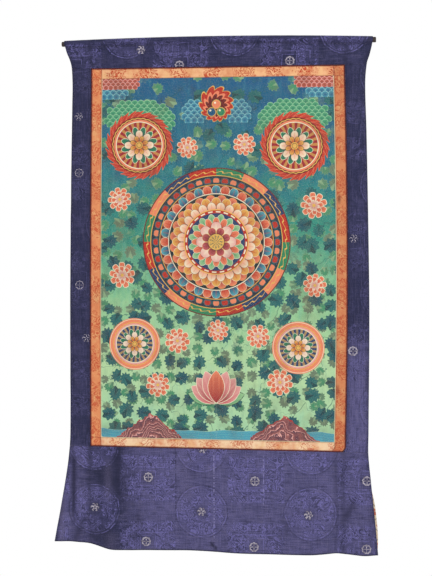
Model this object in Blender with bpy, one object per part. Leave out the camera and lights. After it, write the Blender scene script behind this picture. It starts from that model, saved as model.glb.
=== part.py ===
"""A thangka scroll painting hanging on its rod.

The painted cloth is framed by four orange brocade strips, four thin welts and a navy
brocade mount of four pieces. A printed lining hangs behind. The top panel is turned over
a slender round rod and stitched down as a sleeve.

Metres, +Z up, the painted face towards -Y. The origin is the middle of the rod's axis.
A place on the cloth is given by x and by its depth, the distance below the rod's axis.
"""

import math

import bmesh
import bpy
from mathutils import Vector

# The rod
ROD_LENGTH = 0.696
ROD_RADIUS = 0.006
ROD_SIDES = 16
ROD_STEPS = 12
ROD_DROOP = 0.006  # both ends hang this far below the middle
ROD_TILT = 0.0036  # the right end hangs this far below a level line, the left end above it

# The cloths
CLOTH = 0.0012
LINING = 0.0010
GAP = 0.0003  # between pieces that are sewn edge to edge
LAYER_GAP = 0.0004  # between the front and the lining

# The sleeve
SLEEVE_RADIUS = ROD_RADIUS + GAP
SLEEVE_ARC_STEPS = 9
STITCH = 0.0095  # depth of the stitch line
FLAP_END = STITCH + 0.004

# The painting's frame
BORDER_TOP = 0.0625
BORDER_BOTTOM = 0.8990
BORDER_HALF = 0.2785  # half of the border's width at its top
BORDER_SPREAD = 0.0020  # how much the half width gains by the bottom
LEFT_BULGE = 0.0015  # how much further out each side stands at half height
RIGHT_BULGE = 0.0055
SIDE_STRIP = 0.0215
TOP_STRIP = 0.0215
BOTTOM_STRIP = 0.0180
WELT = 0.0020
SEAM_SLOPE = 0.007  # level seams fall this much for each metre to the right

# How far the lining stays inside the front, and where it slips out past the right edge
LINING_INSET = 0.002
LINING_HEM = 0.006
LINING_SLIP = 0.0055
SLIP_DEPTH = 1.055
SLIP_HALF = 0.062

# The side edges of the mount: depth, x of the left edge, x of the right edge
SIDES = (
    (0.000, -0.3415, 0.3410),
    (0.020, -0.3370, 0.3375),
    (0.038, -0.3300, 0.3335),
    (0.056, -0.3255, 0.3285),
    (0.100, -0.3235, 0.3248),
    (0.205, -0.3250, 0.3275),
    (0.400, -0.3275, 0.3312),
    (0.600, -0.3285, 0.3337),
    (0.860, -0.3280, 0.3318),
    (0.905, -0.3297, 0.3315),
    (0.965, -0.3370, 0.3370),
    (1.045, -0.3485, 0.3450),
    (1.128, -0.3612, 0.3525),
)
HEM_DEPTH = SIDES[-1][0]

# The hem: x, depth
HEM = (
    (-0.361, 1.1105),
    (-0.320, 1.1125),
    (-0.280, 1.1180),
    (-0.234, 1.1280),
    (-0.150, 1.1268),
    (-0.020, 1.1265),
    (0.090, 1.1300),
    (0.200, 1.1288),
    (0.262, 1.1240),
    (0.318, 1.1272),
    (0.353, 1.1250),
)

# The folds of the bottom panel: x at the top, x at the foot, top depth, foot depth,
# half width, height towards the front
FOLDS = (
    (-0.323, -0.323, 0.915, 1.105, 0.008, -0.0060),
    (-0.212, -0.216, 0.905, 1.060, 0.013, -0.0050),
    (-0.252, -0.216, 0.935, 1.010, 0.011, -0.0030),
    (-0.300, -0.280, 1.050, 1.190, 0.016, -0.0060),
    (-0.236, -0.232, 1.040, 1.190, 0.020, 0.0060),
    (0.262, 0.262, 0.915, 1.190, 0.013, -0.0040),
    (0.293, 0.268, 0.980, 1.080, 0.013, -0.0040),
    (0.318, 0.330, 1.000, 1.190, 0.020, 0.0050),
)
FOLD_FADE = 0.035  # a fold dies away over this length at its ends
CORNER_TURN = 0.010  # the lower left corner comes this far forward
HEM_WAVE = 0.003
HEM_WAVE_LENGTH = 0.19
BELLY = 0.004  # the middle of the cloth hangs this far forward

# Columns and rows of the sheets
PANEL_COLUMNS = 40
PANEL_ROWS = 9
UPPER_ROWS = 12
CANVAS_COLUMNS = 10


def clear_scene():
    for item in list(bpy.data.objects):
        bpy.data.objects.remove(item)


def smoothstep(value):
    value = min(1.0, max(0.0, value))
    return value * value * (3.0 - 2.0 * value)


def mix(first, last, share):
    return first + (last - first) * share


def smooth_table(table, column, position):
    """Read a column at a position of column 0, along a smooth curve through the rows."""
    last = len(table) - 1
    row = 0
    while row < last - 1 and position > table[row + 1][0]:
        row += 1
    start, end = table[row], table[row + 1]
    span = end[0] - start[0]
    share = min(1.0, max(0.0, (position - start[0]) / span))

    def slope(index):
        before, after = table[max(0, index - 1)], table[min(last, index + 1)]
        return (after[column] - before[column]) / (after[0] - before[0])

    share2, share3 = share * share, share**3
    return (
        (2 * share3 - 3 * share2 + 1) * start[column]
        + (share3 - 2 * share2 + share) * span * slope(row)
        + (3 * share2 - 2 * share3) * end[column]
        + (share3 - share2) * span * slope(row + 1)
    )


def rod_height(x):
    """Height of the rod's axis: a flat parabola with a slight tilt."""
    share = x / (ROD_LENGTH / 2)
    return -ROD_DROOP * share * share - ROD_TILT * share


def border_edge(side, depth):
    """X of the border's outer edge, which bulges a little at half height.

    The side is -1 for the left edge and 1 for the right one.
    """
    share = (depth - BORDER_TOP) / (BORDER_BOTTOM - BORDER_TOP)
    share = min(1.0, max(0.0, share))
    bulge = LEFT_BULGE if side < 0 else RIGHT_BULGE
    return side * (BORDER_HALF + BORDER_SPREAD * share + bulge * math.sin(math.pi * share))


def fold_relief(x, depth):
    """Each fold is a bell-shaped ridge or trough that fades out at its two ends."""
    total = 0.0
    for x_top, x_foot, top, foot, half, height in FOLDS:
        centre = mix(x_top, x_foot, (depth - top) / (foot - top))
        across = math.exp(-(((x - centre) / half) ** 2))
        along = smoothstep((depth - top) / FOLD_FADE) * smoothstep((foot - depth) / FOLD_FADE)
        total += height * across * along
    return total


def relief(x, depth):
    """How far the cloth stands forward of the plane that it hangs in."""
    belly = BELLY * math.sin(math.pi * min(1.0, depth / 1.1)) * (1.0 - (x / 0.40) ** 2)
    freedom = smoothstep((depth - 0.95) / 0.18)
    wave = HEM_WAVE * math.sin(math.tau * x / HEM_WAVE_LENGTH + 0.6) * freedom
    corner = CORNER_TURN * smoothstep((-0.323 - x) / 0.045) * freedom
    return belly + wave + corner + fold_relief(x, depth)


def front_y(x, depth):
    """Y of the front face of the mount, border and painting."""
    return -(LAYER_GAP / 2 + CLOTH + relief(x, depth))


def column_places(count):
    """Places from 0 to 1 across the bottom panel, closer together on the folds."""
    samples = 600
    left, right = SIDES[-1][1], SIDES[-1][2]
    total, sums = 0.0, [0.0]
    for index in range(samples):
        x = mix(left, right, (index + 0.5) / samples)
        near = max(math.exp(-(((x - (f[0] + f[1]) / 2) / (2.2 * f[4])) ** 2)) for f in FOLDS)
        total += 1.0 + 1.6 * near
        sums.append(total)
    places, index = [], 0
    for step in range(count + 1):
        wanted = total * step / count
        while index < samples - 1 and sums[index + 1] < wanted:
            index += 1
        share = (wanted - sums[index]) / (sums[index + 1] - sums[index])
        places.append((index + share) / samples)
    return places


def cloth_material(name, colour, roughness):
    material = bpy.data.materials.new(name)
    material.use_nodes = True
    shader = material.node_tree.nodes["Principled BSDF"]
    shader.inputs["Base Color"].default_value = (*colour, 1.0)
    shader.inputs["Roughness"].default_value = roughness
    shader.inputs["Metallic"].default_value = 0.0
    return material


def sheet(name, columns, rows, front, back, material):
    """A closed sheet. front(column, row) and back(column, row) give its two faces."""
    mesh = bpy.data.meshes.new(name)
    shape = bmesh.new()
    column_of = shape.verts.layers.int.new("column")
    row_of = shape.verts.layers.int.new("row")
    bmesh.ops.create_grid(shape, x_segments=columns, y_segments=rows, size=1.0)
    for vert in shape.verts:
        vert[column_of] = round((vert.co.x + 1.0) / 2.0 * columns)
        vert[row_of] = round((1.0 - vert.co.y) / 2.0 * rows)
    pushed = bmesh.ops.extrude_face_region(shape, geom=shape.faces[:])["geom"]
    behind = {item for item in pushed if isinstance(item, bmesh.types.BMVert)}
    for vert in shape.verts:
        place = back if vert in behind else front
        vert.co = place(vert[column_of], vert[row_of])
    bmesh.ops.recalc_face_normals(shape, faces=shape.faces[:])
    shape.to_mesh(mesh)
    shape.free()
    piece = bpy.data.objects.new(name, mesh)
    piece.data.materials.append(material)
    bpy.context.scene.collection.objects.link(piece)
    return piece


def framed_piece(name, columns, rows, top, bottom, left, right, material):
    """A piece of the painting's frame, from depth top to bottom, between two edge lines.

    left(depth) and right(depth) give x. The level seams fall a little to the right.
    """

    def face(offset):
        def point(column, row):
            depth = mix(top, bottom, row / rows)
            x = mix(left(depth), right(depth), column / columns)
            return x, front_y(x, depth) + offset, -depth - SEAM_SLOPE * x

        return point

    return sheet(name, columns, rows, face(0.0), face(CLOTH), material)


def painting_and_frame(materials):
    """The painted cloth, the orange strips and the welts, edge to edge."""

    def line(side, offset):
        return lambda depth: border_edge(side, depth) + side * offset

    inner = -SIDE_STRIP - GAP
    canvas_top, canvas_bottom = BORDER_TOP + TOP_STRIP, BORDER_BOTTOM - BOTTOM_STRIP
    framed_piece(
        "painting_canvas", CANVAS_COLUMNS, UPPER_ROWS, canvas_top, canvas_bottom,
        line(-1, inner), line(1, inner), materials["canvas"],
    )
    framed_piece(
        "border_top", CANVAS_COLUMNS, 1, BORDER_TOP, canvas_top - GAP,
        line(-1, inner), line(1, inner), materials["orange"],
    )
    framed_piece(
        "border_bottom", CANVAS_COLUMNS, 1, canvas_bottom + GAP, BORDER_BOTTOM,
        line(-1, inner), line(1, inner), materials["orange"],
    )
    for side, word in ((-1, "left"), (1, "right")):
        framed_piece(
            f"border_{word}", 1, UPPER_ROWS, BORDER_TOP, BORDER_BOTTOM,
            line(side, -SIDE_STRIP), line(side, 0.0), materials["orange"],
        )
        framed_piece(
            f"welt_{word}", 1, UPPER_ROWS, BORDER_TOP, BORDER_BOTTOM,
            line(side, GAP), line(side, GAP + WELT), materials["welt"],
        )
    for word, top in (("top", BORDER_TOP - GAP - WELT), ("bottom", BORDER_BOTTOM + GAP)):
        framed_piece(
            f"welt_{word}", CANVAS_COLUMNS, 1, top, top + WELT,
            line(-1, GAP + WELT), line(1, GAP + WELT), materials["welt"],
        )


TOP_SEAM = BORDER_TOP - 2 * GAP - WELT  # lower edge of the top panel
BOTTOM_SEAM = BORDER_BOTTOM + 2 * GAP + WELT  # upper edge of the bottom panel


def side_mounts(material):
    """The two side strips of the mount, between the top and bottom panels."""
    inner = 2 * GAP + WELT
    framed_piece(
        "mount_left", 3, UPPER_ROWS, TOP_SEAM + GAP, BOTTOM_SEAM - GAP,
        lambda depth: smooth_table(SIDES, 1, depth),
        lambda depth: border_edge(-1, depth) - inner, material,
    )
    framed_piece(
        "mount_right", 3, UPPER_ROWS, TOP_SEAM + GAP, BOTTOM_SEAM - GAP,
        lambda depth: border_edge(1, depth) + inner,
        lambda depth: smooth_table(SIDES, 2, depth), material,
    )


def panel_point(places, column, row):
    """A lattice point of the bottom panel's front face."""
    share = row / PANEL_ROWS
    nominal = mix(BOTTOM_SEAM, HEM_DEPTH, share)
    left, right = smooth_table(SIDES, 1, nominal), smooth_table(SIDES, 2, nominal)
    x = mix(left, right, places[column])
    z = -mix(BOTTOM_SEAM + SEAM_SLOPE * x, smooth_table(HEM, 1, x), share)
    return Vector((x, front_y(x, nominal), z))


def panel_between(places, column, row):
    """The same face at a place between its lattice points, or just past its edge."""
    first = min(len(places) - 2, max(0, math.floor(column)))
    top = min(PANEL_ROWS - 1, math.floor(row))
    upper, lower = (
        panel_point(places, first, line)
        + (panel_point(places, first + 1, line) - panel_point(places, first, line))
        * (column - first)
        for line in (top, top + 1)
    )
    return upper + (lower - upper) * (row - top)


def bottom_mount(material, places):
    """The flared bottom panel, down to its uneven hem."""
    thickness = Vector((0.0, CLOTH, 0.0))
    return sheet(
        "mount_bottom", len(places) - 1, PANEL_ROWS,
        lambda column, row: panel_point(places, column, row),
        lambda column, row: panel_point(places, column, row) + thickness, material,
    )


def sleeve_inside():
    """The sleeve's inner line in the YZ plane, from the flap's end over the rod."""
    reach = math.hypot(LAYER_GAP / 2, STITCH)
    lean = math.asin(SLEEVE_RADIUS / reach) - math.atan2(LAYER_GAP / 2, STITCH)
    turn = math.pi / 2 + lean
    step = 2 * turn / SLEEVE_ARC_STEPS
    radius = SLEEVE_RADIUS / math.cos(step / 2)
    line = [(LAYER_GAP / 2, -FLAP_END), (LAYER_GAP / 2, -STITCH)]
    for index in range(SLEEVE_ARC_STEPS):
        angle = turn - step * (index + 0.5)
        line.append((radius * math.sin(angle), radius * math.cos(angle)))
    line.append((-LAYER_GAP / 2, -STITCH))
    return line


def offset_line(line, distance):
    """The line moved sideways by a distance, with mitred corners."""
    moved = []
    for index, (y, z) in enumerate(line):
        normals = []
        for first, second in ((index - 1, index), (index, index + 1)):
            if first >= 0 and second < len(line):
                run, rise = line[second][0] - line[first][0], line[second][1] - line[first][1]
                length = math.hypot(run, rise)
                normals.append((rise / length, -run / length))
        normal_y = sum(n[0] for n in normals) / len(normals)
        normal_z = sum(n[1] for n in normals) / len(normals)
        stretch = distance / (normal_y**2 + normal_z**2)
        moved.append((y + normal_y * stretch, z + normal_z * stretch))
    return moved


def top_mount(material):
    """The top panel, with its upper edge turned over the rod and stitched as a sleeve."""
    hanging_rows = 3
    inside = sleeve_inside() + [(-LAYER_GAP / 2, -2 * STITCH)]
    outside = offset_line(inside, CLOTH)
    sleeve_rows = len(inside) - 2
    rows = sleeve_rows + hanging_rows

    def point(line, column, row):
        if row <= sleeve_rows:
            y, drop = line[row]
            share = 0.0
        else:
            y, drop = line[sleeve_rows]
            share = (row - sleeve_rows) / hanging_rows
        nominal = mix(max(0.0, -drop), TOP_SEAM, share)
        left, right = smooth_table(SIDES, 1, nominal), smooth_table(SIDES, 2, nominal)
        x = mix(left, right, column / PANEL_COLUMNS)
        z = mix(rod_height(x) + drop, -TOP_SEAM - SEAM_SLOPE * x, share)
        return x, y - relief(x, nominal) * smoothstep(nominal / STITCH - 1.0), z

    return sheet(
        "mount_top", PANEL_COLUMNS, rows,
        lambda column, row: point(outside, column, row),
        lambda column, row: point(inside, column, row), material,
    )


def lining(material, places):
    """The printed back, from under the sleeve's flap to just above the hem.

    Down to the bottom seam it has rows of its own. Below, it lies on the bottom panel's
    lattice, drawn in at the hem and the left edge and slipped out at the right edge.
    """
    columns = len(places) - 1
    top = FLAP_END + GAP
    row_height = (HEM_DEPTH - BOTTOM_SEAM) / PANEL_ROWS

    def upper_point(column, row):
        share = row / UPPER_ROWS
        nominal = mix(top, BOTTOM_SEAM, share)
        left = smooth_table(SIDES, 1, nominal) + LINING_INSET
        right = smooth_table(SIDES, 2, nominal) - LINING_INSET
        x = mix(left, right, places[column])
        z = mix(rod_height(x) - top, -BOTTOM_SEAM - SEAM_SLOPE * x, share)
        return Vector((x, front_y(x, nominal), z))

    def lower_point(column, row):
        if column == 0:
            width = panel_point(places, 1, row).x - panel_point(places, 0, row).x
            column = LINING_INSET / width
        elif column == columns:
            width = panel_point(places, -1, row).x - panel_point(places, -2, row).x
            nominal = BOTTOM_SEAM + row_height * row
            slip = LINING_SLIP * math.exp(-(((nominal - SLIP_DEPTH) / SLIP_HALF) ** 4))
            column = columns + (slip - LINING_INSET) / width
        if row == PANEL_ROWS:
            row -= LINING_HEM / row_height
        return panel_between(places, column, row)

    def point(offset):
        behind = Vector((0.0, offset, 0.0))

        def place(column, row):
            if row < UPPER_ROWS:
                return upper_point(column, row) + behind
            return lower_point(column, row - UPPER_ROWS) + behind

        return place

    near = CLOTH + LAYER_GAP
    return sheet(
        "lining", columns, UPPER_ROWS + PANEL_ROWS, point(near), point(near + LINING), material
    )


def rod(material):
    """The round rod, bowed a little, with a flat face at each end."""
    mesh = bpy.data.meshes.new("top_rod")
    shape = bmesh.new()
    bmesh.ops.create_circle(shape, cap_ends=True, segments=ROD_SIDES, radius=ROD_RADIUS)
    start = -ROD_LENGTH / 2
    for vert in shape.verts:
        side, height = vert.co.x, vert.co.y
        vert.co = (start, side, height + rod_height(start))
    ring_edges = shape.edges[:]
    for step in range(ROD_STEPS):
        before = start + ROD_LENGTH * step / ROD_STEPS
        after = start + ROD_LENGTH * (step + 1) / ROD_STEPS
        pushed = bmesh.ops.extrude_edge_only(shape, edges=ring_edges)["geom"]
        ring = [item for item in pushed if isinstance(item, bmesh.types.BMVert)]
        rise = rod_height(after) - rod_height(before)
        bmesh.ops.translate(shape, verts=ring, vec=(after - before, 0.0, rise))
        ring_edges = [edge for edge in shape.edges if all(v in ring for v in edge.verts)]
    bmesh.ops.contextual_create(shape, geom=ring_edges)
    bmesh.ops.recalc_face_normals(shape, faces=shape.faces[:])
    shape.to_mesh(mesh)
    shape.free()
    mesh.shade_smooth()
    mesh.set_sharp_from_angle(angle=math.radians(40))
    piece = bpy.data.objects.new("top_rod", mesh)
    piece.data.materials.append(material)
    bpy.context.scene.collection.objects.link(piece)
    return piece


def main():
    clear_scene()
    navy = cloth_material("navy_brocade", (0.035, 0.035, 0.13), 0.55)
    materials = {
        "canvas": cloth_material("painted_cloth", (0.10, 0.33, 0.28), 0.75),
        "orange": cloth_material("orange_brocade", (0.78, 0.32, 0.14), 0.60),
        "welt": cloth_material("red_welt", (0.16, 0.02, 0.03), 0.70),
    }
    wood = cloth_material("dark_wood", (0.07, 0.04, 0.025), 0.55)
    print_cloth = cloth_material("printed_cotton", (0.62, 0.50, 0.42), 0.85)
    places = column_places(PANEL_COLUMNS)
    rod(wood)
    top_mount(navy)
    painting_and_frame(materials)
    side_mounts(navy)
    bottom_mount(navy, places)
    lining(print_cloth, places)


main()
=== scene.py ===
# %% [markdown]
# # A painted scroll in its brocade mount, on a rod
# The real thing is a painting on sized cotton, sewn into an opening of silk. A narrow
# orange border and a thin dark red welt frame it, a navy damask carries it, and a
# printed cotton lines the back. It hangs from a slender rod in a sleeve at the top.
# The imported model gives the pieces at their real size, as plain sheets. This lesson
# replaces each with a finer sheet of the same form and gives it its weave and colour.

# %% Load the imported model
import math

import bmesh
import bpy
import numpy as np
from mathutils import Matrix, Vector


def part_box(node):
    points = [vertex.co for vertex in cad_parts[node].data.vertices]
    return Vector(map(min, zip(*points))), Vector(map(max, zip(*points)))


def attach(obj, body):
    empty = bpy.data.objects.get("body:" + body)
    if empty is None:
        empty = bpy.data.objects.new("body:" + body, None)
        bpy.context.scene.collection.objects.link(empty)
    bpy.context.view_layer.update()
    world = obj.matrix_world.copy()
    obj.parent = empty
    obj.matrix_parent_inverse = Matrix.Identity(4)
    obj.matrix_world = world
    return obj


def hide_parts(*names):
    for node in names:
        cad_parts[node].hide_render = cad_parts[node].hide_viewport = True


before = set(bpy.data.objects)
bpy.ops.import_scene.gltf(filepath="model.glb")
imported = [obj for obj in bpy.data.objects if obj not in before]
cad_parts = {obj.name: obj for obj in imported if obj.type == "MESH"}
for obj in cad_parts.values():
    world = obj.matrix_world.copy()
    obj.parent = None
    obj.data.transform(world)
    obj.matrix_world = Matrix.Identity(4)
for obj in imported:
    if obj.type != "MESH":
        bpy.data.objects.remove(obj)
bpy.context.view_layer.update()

MM = 0.001
print("nodes in the frame:", len(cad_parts))

# %% [markdown]
# ## How the cloth hangs
# A place on the cloth is an x and a depth below the rod's axis. The tables below hold
# the uneven outline, as a tailor would chalk it: a few widths, and a smooth curve
# through them. Numpy reads such a curve at thousands of places in one go, which keeps
# every shape in this file a short formula.

# %% Sizes of the rod, the cloths and the frame, in metres
rod_low, rod_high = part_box("top_rod")
ROD_LENGTH = rod_high.x - rod_low.x
ROD_RADIUS = 0.006
ROD_DROOP = 0.006
ROD_TILT = 0.0036
CLOTH = 0.0012
LINING = 0.0010
GAP = 0.0003
LAYER_GAP = 0.0004
SLEEVE_RADIUS = ROD_RADIUS + GAP
STITCH = 0.0095
FLAP_END = STITCH + 0.004
BORDER_TOP = 0.0625
BORDER_BOTTOM = 0.8990
BORDER_HALF = 0.2785
BORDER_SPREAD = 0.0020
LEFT_BULGE = 0.0015
RIGHT_BULGE = 0.0055
EASED_LENGTH = 0.012
EASED_CORNER = 0.0055
SIDE_STRIP = 0.0215
TOP_STRIP = 0.0215
BOTTOM_STRIP = 0.0180
WELT = 0.0020
SEAM_SLOPE = 0.007
TOP_SEAM = BORDER_TOP - 2 * GAP - WELT
BOTTOM_SEAM = BORDER_BOTTOM + 2 * GAP + WELT
LINING_INSET = 0.002
LINING_HEM = 0.006
LINING_SLIP = 0.0055
SLIP_DEPTH = 1.055
SLIP_HALF = 0.062
CANVAS_TOP = BORDER_TOP + TOP_STRIP
CANVAS_BOTTOM = BORDER_BOTTOM - BOTTOM_STRIP

# Depth, x of the left edge, x of the right edge
SIDES = (
    (0.000, -0.3415, 0.3410),
    (0.020, -0.3370, 0.3375),
    (0.038, -0.3300, 0.3335),
    (0.056, -0.3255, 0.3285),
    (0.100, -0.3235, 0.3248),
    (0.205, -0.3250, 0.3275),
    (0.400, -0.3275, 0.3312),
    (0.600, -0.3285, 0.3337),
    (0.860, -0.3280, 0.3318),
    (0.905, -0.3297, 0.3315),
    (0.965, -0.3370, 0.3370),
    (1.045, -0.3485, 0.3450),
    (1.128, -0.3612, 0.3525),
)
LEFT, RIGHT = 1, 2
HEM_DEPTH = SIDES[-1][0]

# X, depth of the hem
HEM = (
    (-0.361, 1.1105),
    (-0.320, 1.1125),
    (-0.280, 1.1180),
    (-0.234, 1.1280),
    (-0.150, 1.1268),
    (-0.020, 1.1265),
    (0.090, 1.1300),
    (0.200, 1.1288),
    (0.262, 1.1240),
    (0.318, 1.1272),
    (0.353, 1.1250),
)

# Folds of the bottom panel: x at the top and foot, top and foot depth, half width, height
FOLDS = (
    (-0.323, -0.323, 0.915, 1.105, 0.008, -0.0060),
    (-0.212, -0.216, 0.905, 1.060, 0.013, -0.0050),
    (-0.252, -0.216, 0.935, 1.010, 0.011, -0.0030),
    (-0.300, -0.280, 1.050, 1.190, 0.016, -0.0060),
    (-0.236, -0.232, 1.040, 1.190, 0.020, 0.0060),
    (0.262, 0.262, 0.915, 1.190, 0.013, -0.0040),
    (0.293, 0.268, 0.980, 1.080, 0.013, -0.0040),
    (0.318, 0.330, 1.000, 1.190, 0.020, 0.0050),
)
FOLD_FADE = 0.035
CORNER_TURN = 0.010
CORNER_X, CORNER_WIDE = -0.323, 0.045  # where the lower left corner starts to turn
FREE_FROM, FREE_OVER = 0.95, 0.18  # depths over which the foot comes free to wave
HEM_WAVE = 0.003
HEM_WAVE_LENGTH = 0.19
BELLY = 0.004
BELLY_DEPTH, BELLY_HALF = 1.1, 0.40
print("painted cloth:", round(2 * (BORDER_HALF - SIDE_STRIP), 3), "by", CANVAS_BOTTOM - CANVAS_TOP)

# %% Curves read by numpy


def smoothstep(value):
    """0 below 0, 1 above 1, and an S-shaped cubic between."""
    value = np.clip(value, 0.0, 1.0)
    return value * value * (3.0 - 2.0 * value)


def mix(first, last, share):
    """The straight line from first to last."""
    return first + (last - first) * share


def smooth_curve(table, column, position):
    """A cubic through the rows, whose slope at a row is that of the line past it."""
    rows = np.array(table)
    places, values = rows[:, 0], rows[:, column]
    last = len(rows) - 1
    number = np.arange(last + 1)
    before, after = np.maximum(number - 1, 0), np.minimum(number + 1, last)
    slopes = (values[after] - values[before]) / (places[after] - places[before])
    row = np.clip(np.searchsorted(places, position) - 1, 0, last - 1)
    span = places[row + 1] - places[row]
    share = np.clip((position - places[row]) / span, 0.0, 1.0)
    squared, cubed = share**2, share**3
    return (
        (2 * cubed - 3 * squared + 1) * values[row]
        + (cubed - 2 * squared + share) * span * slopes[row]
        + (3 * squared - 2 * cubed) * values[row + 1]
        + (cubed - squared) * span * slopes[row + 1]
    )


def bell(value, reach, power=2):
    """1 where the value is 0, and a bell-shaped fall that has mostly died at the reach."""
    return np.exp(-((value / reach) ** power))


def spots(table, x, depth, power):
    """At each place the strongest of a table's leaning spots, each a product of two bells."""
    strongest = np.zeros(np.broadcast(x, depth).shape)
    for spot_x, spot_depth, wide, high, lean, amount in table:
        away = depth - spot_depth
        spot = amount * bell(x - spot_x + lean * away, wide) * bell(away, high, power)
        strongest = np.maximum(strongest, spot)
    return strongest


def left_edge(depth):
    """X of the mount's left edge."""
    return smooth_curve(SIDES, LEFT, depth)


def right_edge(depth):
    """X of the mount's right edge."""
    return smooth_curve(SIDES, RIGHT, depth)


def hem_line(x):
    """Depth of the hem."""
    return smooth_curve(HEM, 1, x)


def rod_height(x):
    """A flat parabola with a slight tilt."""
    share = x / (ROD_LENGTH / 2)
    return -ROD_DROOP * share * share - ROD_TILT * share


def border_edge(side, depth):
    """Half the border's width plus a spread and half a sine wave; side is -1 or 1.

    At the foot the right side bends in along a cubic, as its corner was eased in sewing.
    """
    share = np.clip((depth - BORDER_TOP) / (BORDER_BOTTOM - BORDER_TOP), 0.0, 1.0)
    bulge = LEFT_BULGE if side < 0 else RIGHT_BULGE
    eased = np.clip((depth - BORDER_BOTTOM) / EASED_LENGTH + 1.0, 0.0, 1.0) if side > 0 else 0.0
    half = BORDER_HALF + BORDER_SPREAD * share + bulge * np.sin(math.pi * share)
    return side * (half - EASED_CORNER * eased**3)


def border_half(x, depth):
    """The border's half width on the side where x lies."""
    return np.where(x < 0, -border_edge(-1, depth), border_edge(1, depth))


def side_line(side, offset):
    """X of a line beside the border's outer edge, as a function of the depth."""
    return lambda depth: border_edge(side, depth) + side * offset


# %% [markdown]
# ## Folds, creases and puckers
# Each fold is a bell curve across, faded at its two ends. The big ones are those of the
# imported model. Finer ones are added on top: sharp press creases, long soft waves from
# years of rolling up, and small puckers where a seam draws the silk in. All the layers
# of the scroll use the same sum, so that they lie on each other everywhere.

# %% The relief of the cloth

# Fine creases: x at the top and foot, top and foot depth, half width, height
CREASES = (
    (-0.090, -0.091, 0.890, 1.150, 0.0035, 0.0007),
    (-0.006, -0.004, 0.895, 1.150, 0.0030, 0.0006),
    (0.104, 0.103, 0.895, 1.150, 0.0030, 0.0007),
    (0.222, 0.224, 0.900, 1.150, 0.0040, -0.0006),
    (-0.176, -0.170, 0.930, 1.150, 0.0050, -0.0007),
    (-0.345, -0.347, 0.990, 1.150, 0.0040, 0.0009),
    (0.300, 0.316, 0.905, 1.060, 0.0050, 0.0008),
)
WAVES = 9
WAVE_SEED = 7
WAVE_SHORTEST, WAVE_LONGEST = 0.04, 0.13
WAVE_HEIGHT = 0.0022  # metres of height for each metre of wave length
PUCKER_HEIGHT = 0.00028
PUCKER_REACH = 0.006
PUCKER_FADE = 0.01
SIDE_PUCKER, LEVEL_PUCKER = 0.0171, 0.0193  # length of a pucker along its seam


def bells(table, x, depth, fade):
    """The sum of bell-shaped ridges and troughs, each faded out at its two ends."""
    total = np.zeros(np.broadcast(x, depth).shape)
    for x_top, x_foot, top, foot, half, height in table:
        centre = mix(x_top, x_foot, (depth - top) / (foot - top))
        across = bell(x - centre, half)
        along = smoothstep((depth - top) / fade) * smoothstep((foot - depth) / fade)
        total = total + height * across * along
    return total


def soft_waves(x, depth):
    """A few long sine waves that run in different directions, added up."""
    chance = np.random.default_rng(WAVE_SEED)
    total = np.zeros(np.broadcast(x, depth).shape)
    for _ in range(WAVES):
        angle, phase = chance.uniform(0, math.tau, 2)
        length = chance.uniform(WAVE_SHORTEST, WAVE_LONGEST)
        run = (x * math.cos(angle) + depth * math.sin(angle)) / length
        total = total + length * np.sin(math.tau * run + phase)
    return total * WAVE_HEIGHT


def puckers(x, depth):
    """Short waves along the frame's seams, which die away a few millimetres from them."""
    edge = border_half(x, depth)
    inside = smoothstep((depth - BORDER_TOP) / PUCKER_FADE)
    inside = inside * smoothstep((BORDER_BOTTOM - depth) / PUCKER_FADE)
    upright_wave = np.sin(math.tau * depth / SIDE_PUCKER + 3 * np.sin(depth * 31))
    total = bell(np.abs(x) - edge, PUCKER_REACH) * inside * upright_wave
    for seam in (BORDER_TOP, BORDER_BOTTOM):
        near = bell(depth - seam, PUCKER_REACH) * smoothstep((edge - np.abs(x)) / PUCKER_FADE)
        total = total + near * np.sin(math.tau * x / LEVEL_PUCKER + 3 * np.sin(x * 27 + seam))
    return total * PUCKER_HEIGHT


def relief(x, depth):
    """How far the cloth stands forward: the belly, the hem's wave, folds and creases."""
    down = np.sin(math.pi * np.minimum(1.0, depth / BELLY_DEPTH))
    belly = BELLY * down * (1.0 - (x / BELLY_HALF) ** 2)
    freedom = smoothstep((depth - FREE_FROM) / FREE_OVER)
    wave = HEM_WAVE * np.sin(math.tau * x / HEM_WAVE_LENGTH + 0.6) * freedom
    corner = CORNER_TURN * smoothstep((CORNER_X - x) / CORNER_WIDE) * freedom
    large = belly + wave + corner + bells(FOLDS, x, depth, FOLD_FADE)
    fine = bells(CREASES, x, depth, FOLD_FADE) + soft_waves(x, depth) + puckers(x, depth)
    return large + fine


def front_y(x, depth):
    """Y of the front face of the mount, the border and the painting."""
    return -(LAYER_GAP / 2 + CLOTH + relief(x, depth))


samples = np.linspace(0.9, 1.12, 50)
print("relief at the left trough, mm:", round(float(relief(-0.214, samples).min()) / MM, 2))

# %% [markdown]
# ## From arrays to meshes
# A sheet is a grid of places for its front and a second one for its back. The faces
# are index arithmetic on whole arrays. The outermost line of each face is set back a
# little, so that the edge catches light as folded silk does.

# %% A closed sheet from two grids

PITCH = 0.0036  # distance between the lines of a cloth's grid
EDGE_MARGIN = 0.0007  # the second line lies this far inside the edge
EDGE_DROP = 0.00030  # how far the outermost line is set back


def lines(length, pitch=PITCH, margin=EDGE_MARGIN):
    """Shares from 0 to 1 at an even pitch, with one more line close to each end."""
    count = max(2, round(length / pitch))
    inner = np.linspace(margin / length, 1.0 - margin / length, count)
    return np.concatenate(([0.0], inner, [1.0]))


def grid_faces(rows, columns, first=0):
    """Quads of a grid whose rows run down and columns to the right, seen from -Y."""
    corner = first + np.arange(rows - 1)[:, None] * columns + np.arange(columns - 1)
    return np.stack((corner, corner + columns, corner + columns + 1, corner + 1), -1).reshape(-1, 4)


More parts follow.
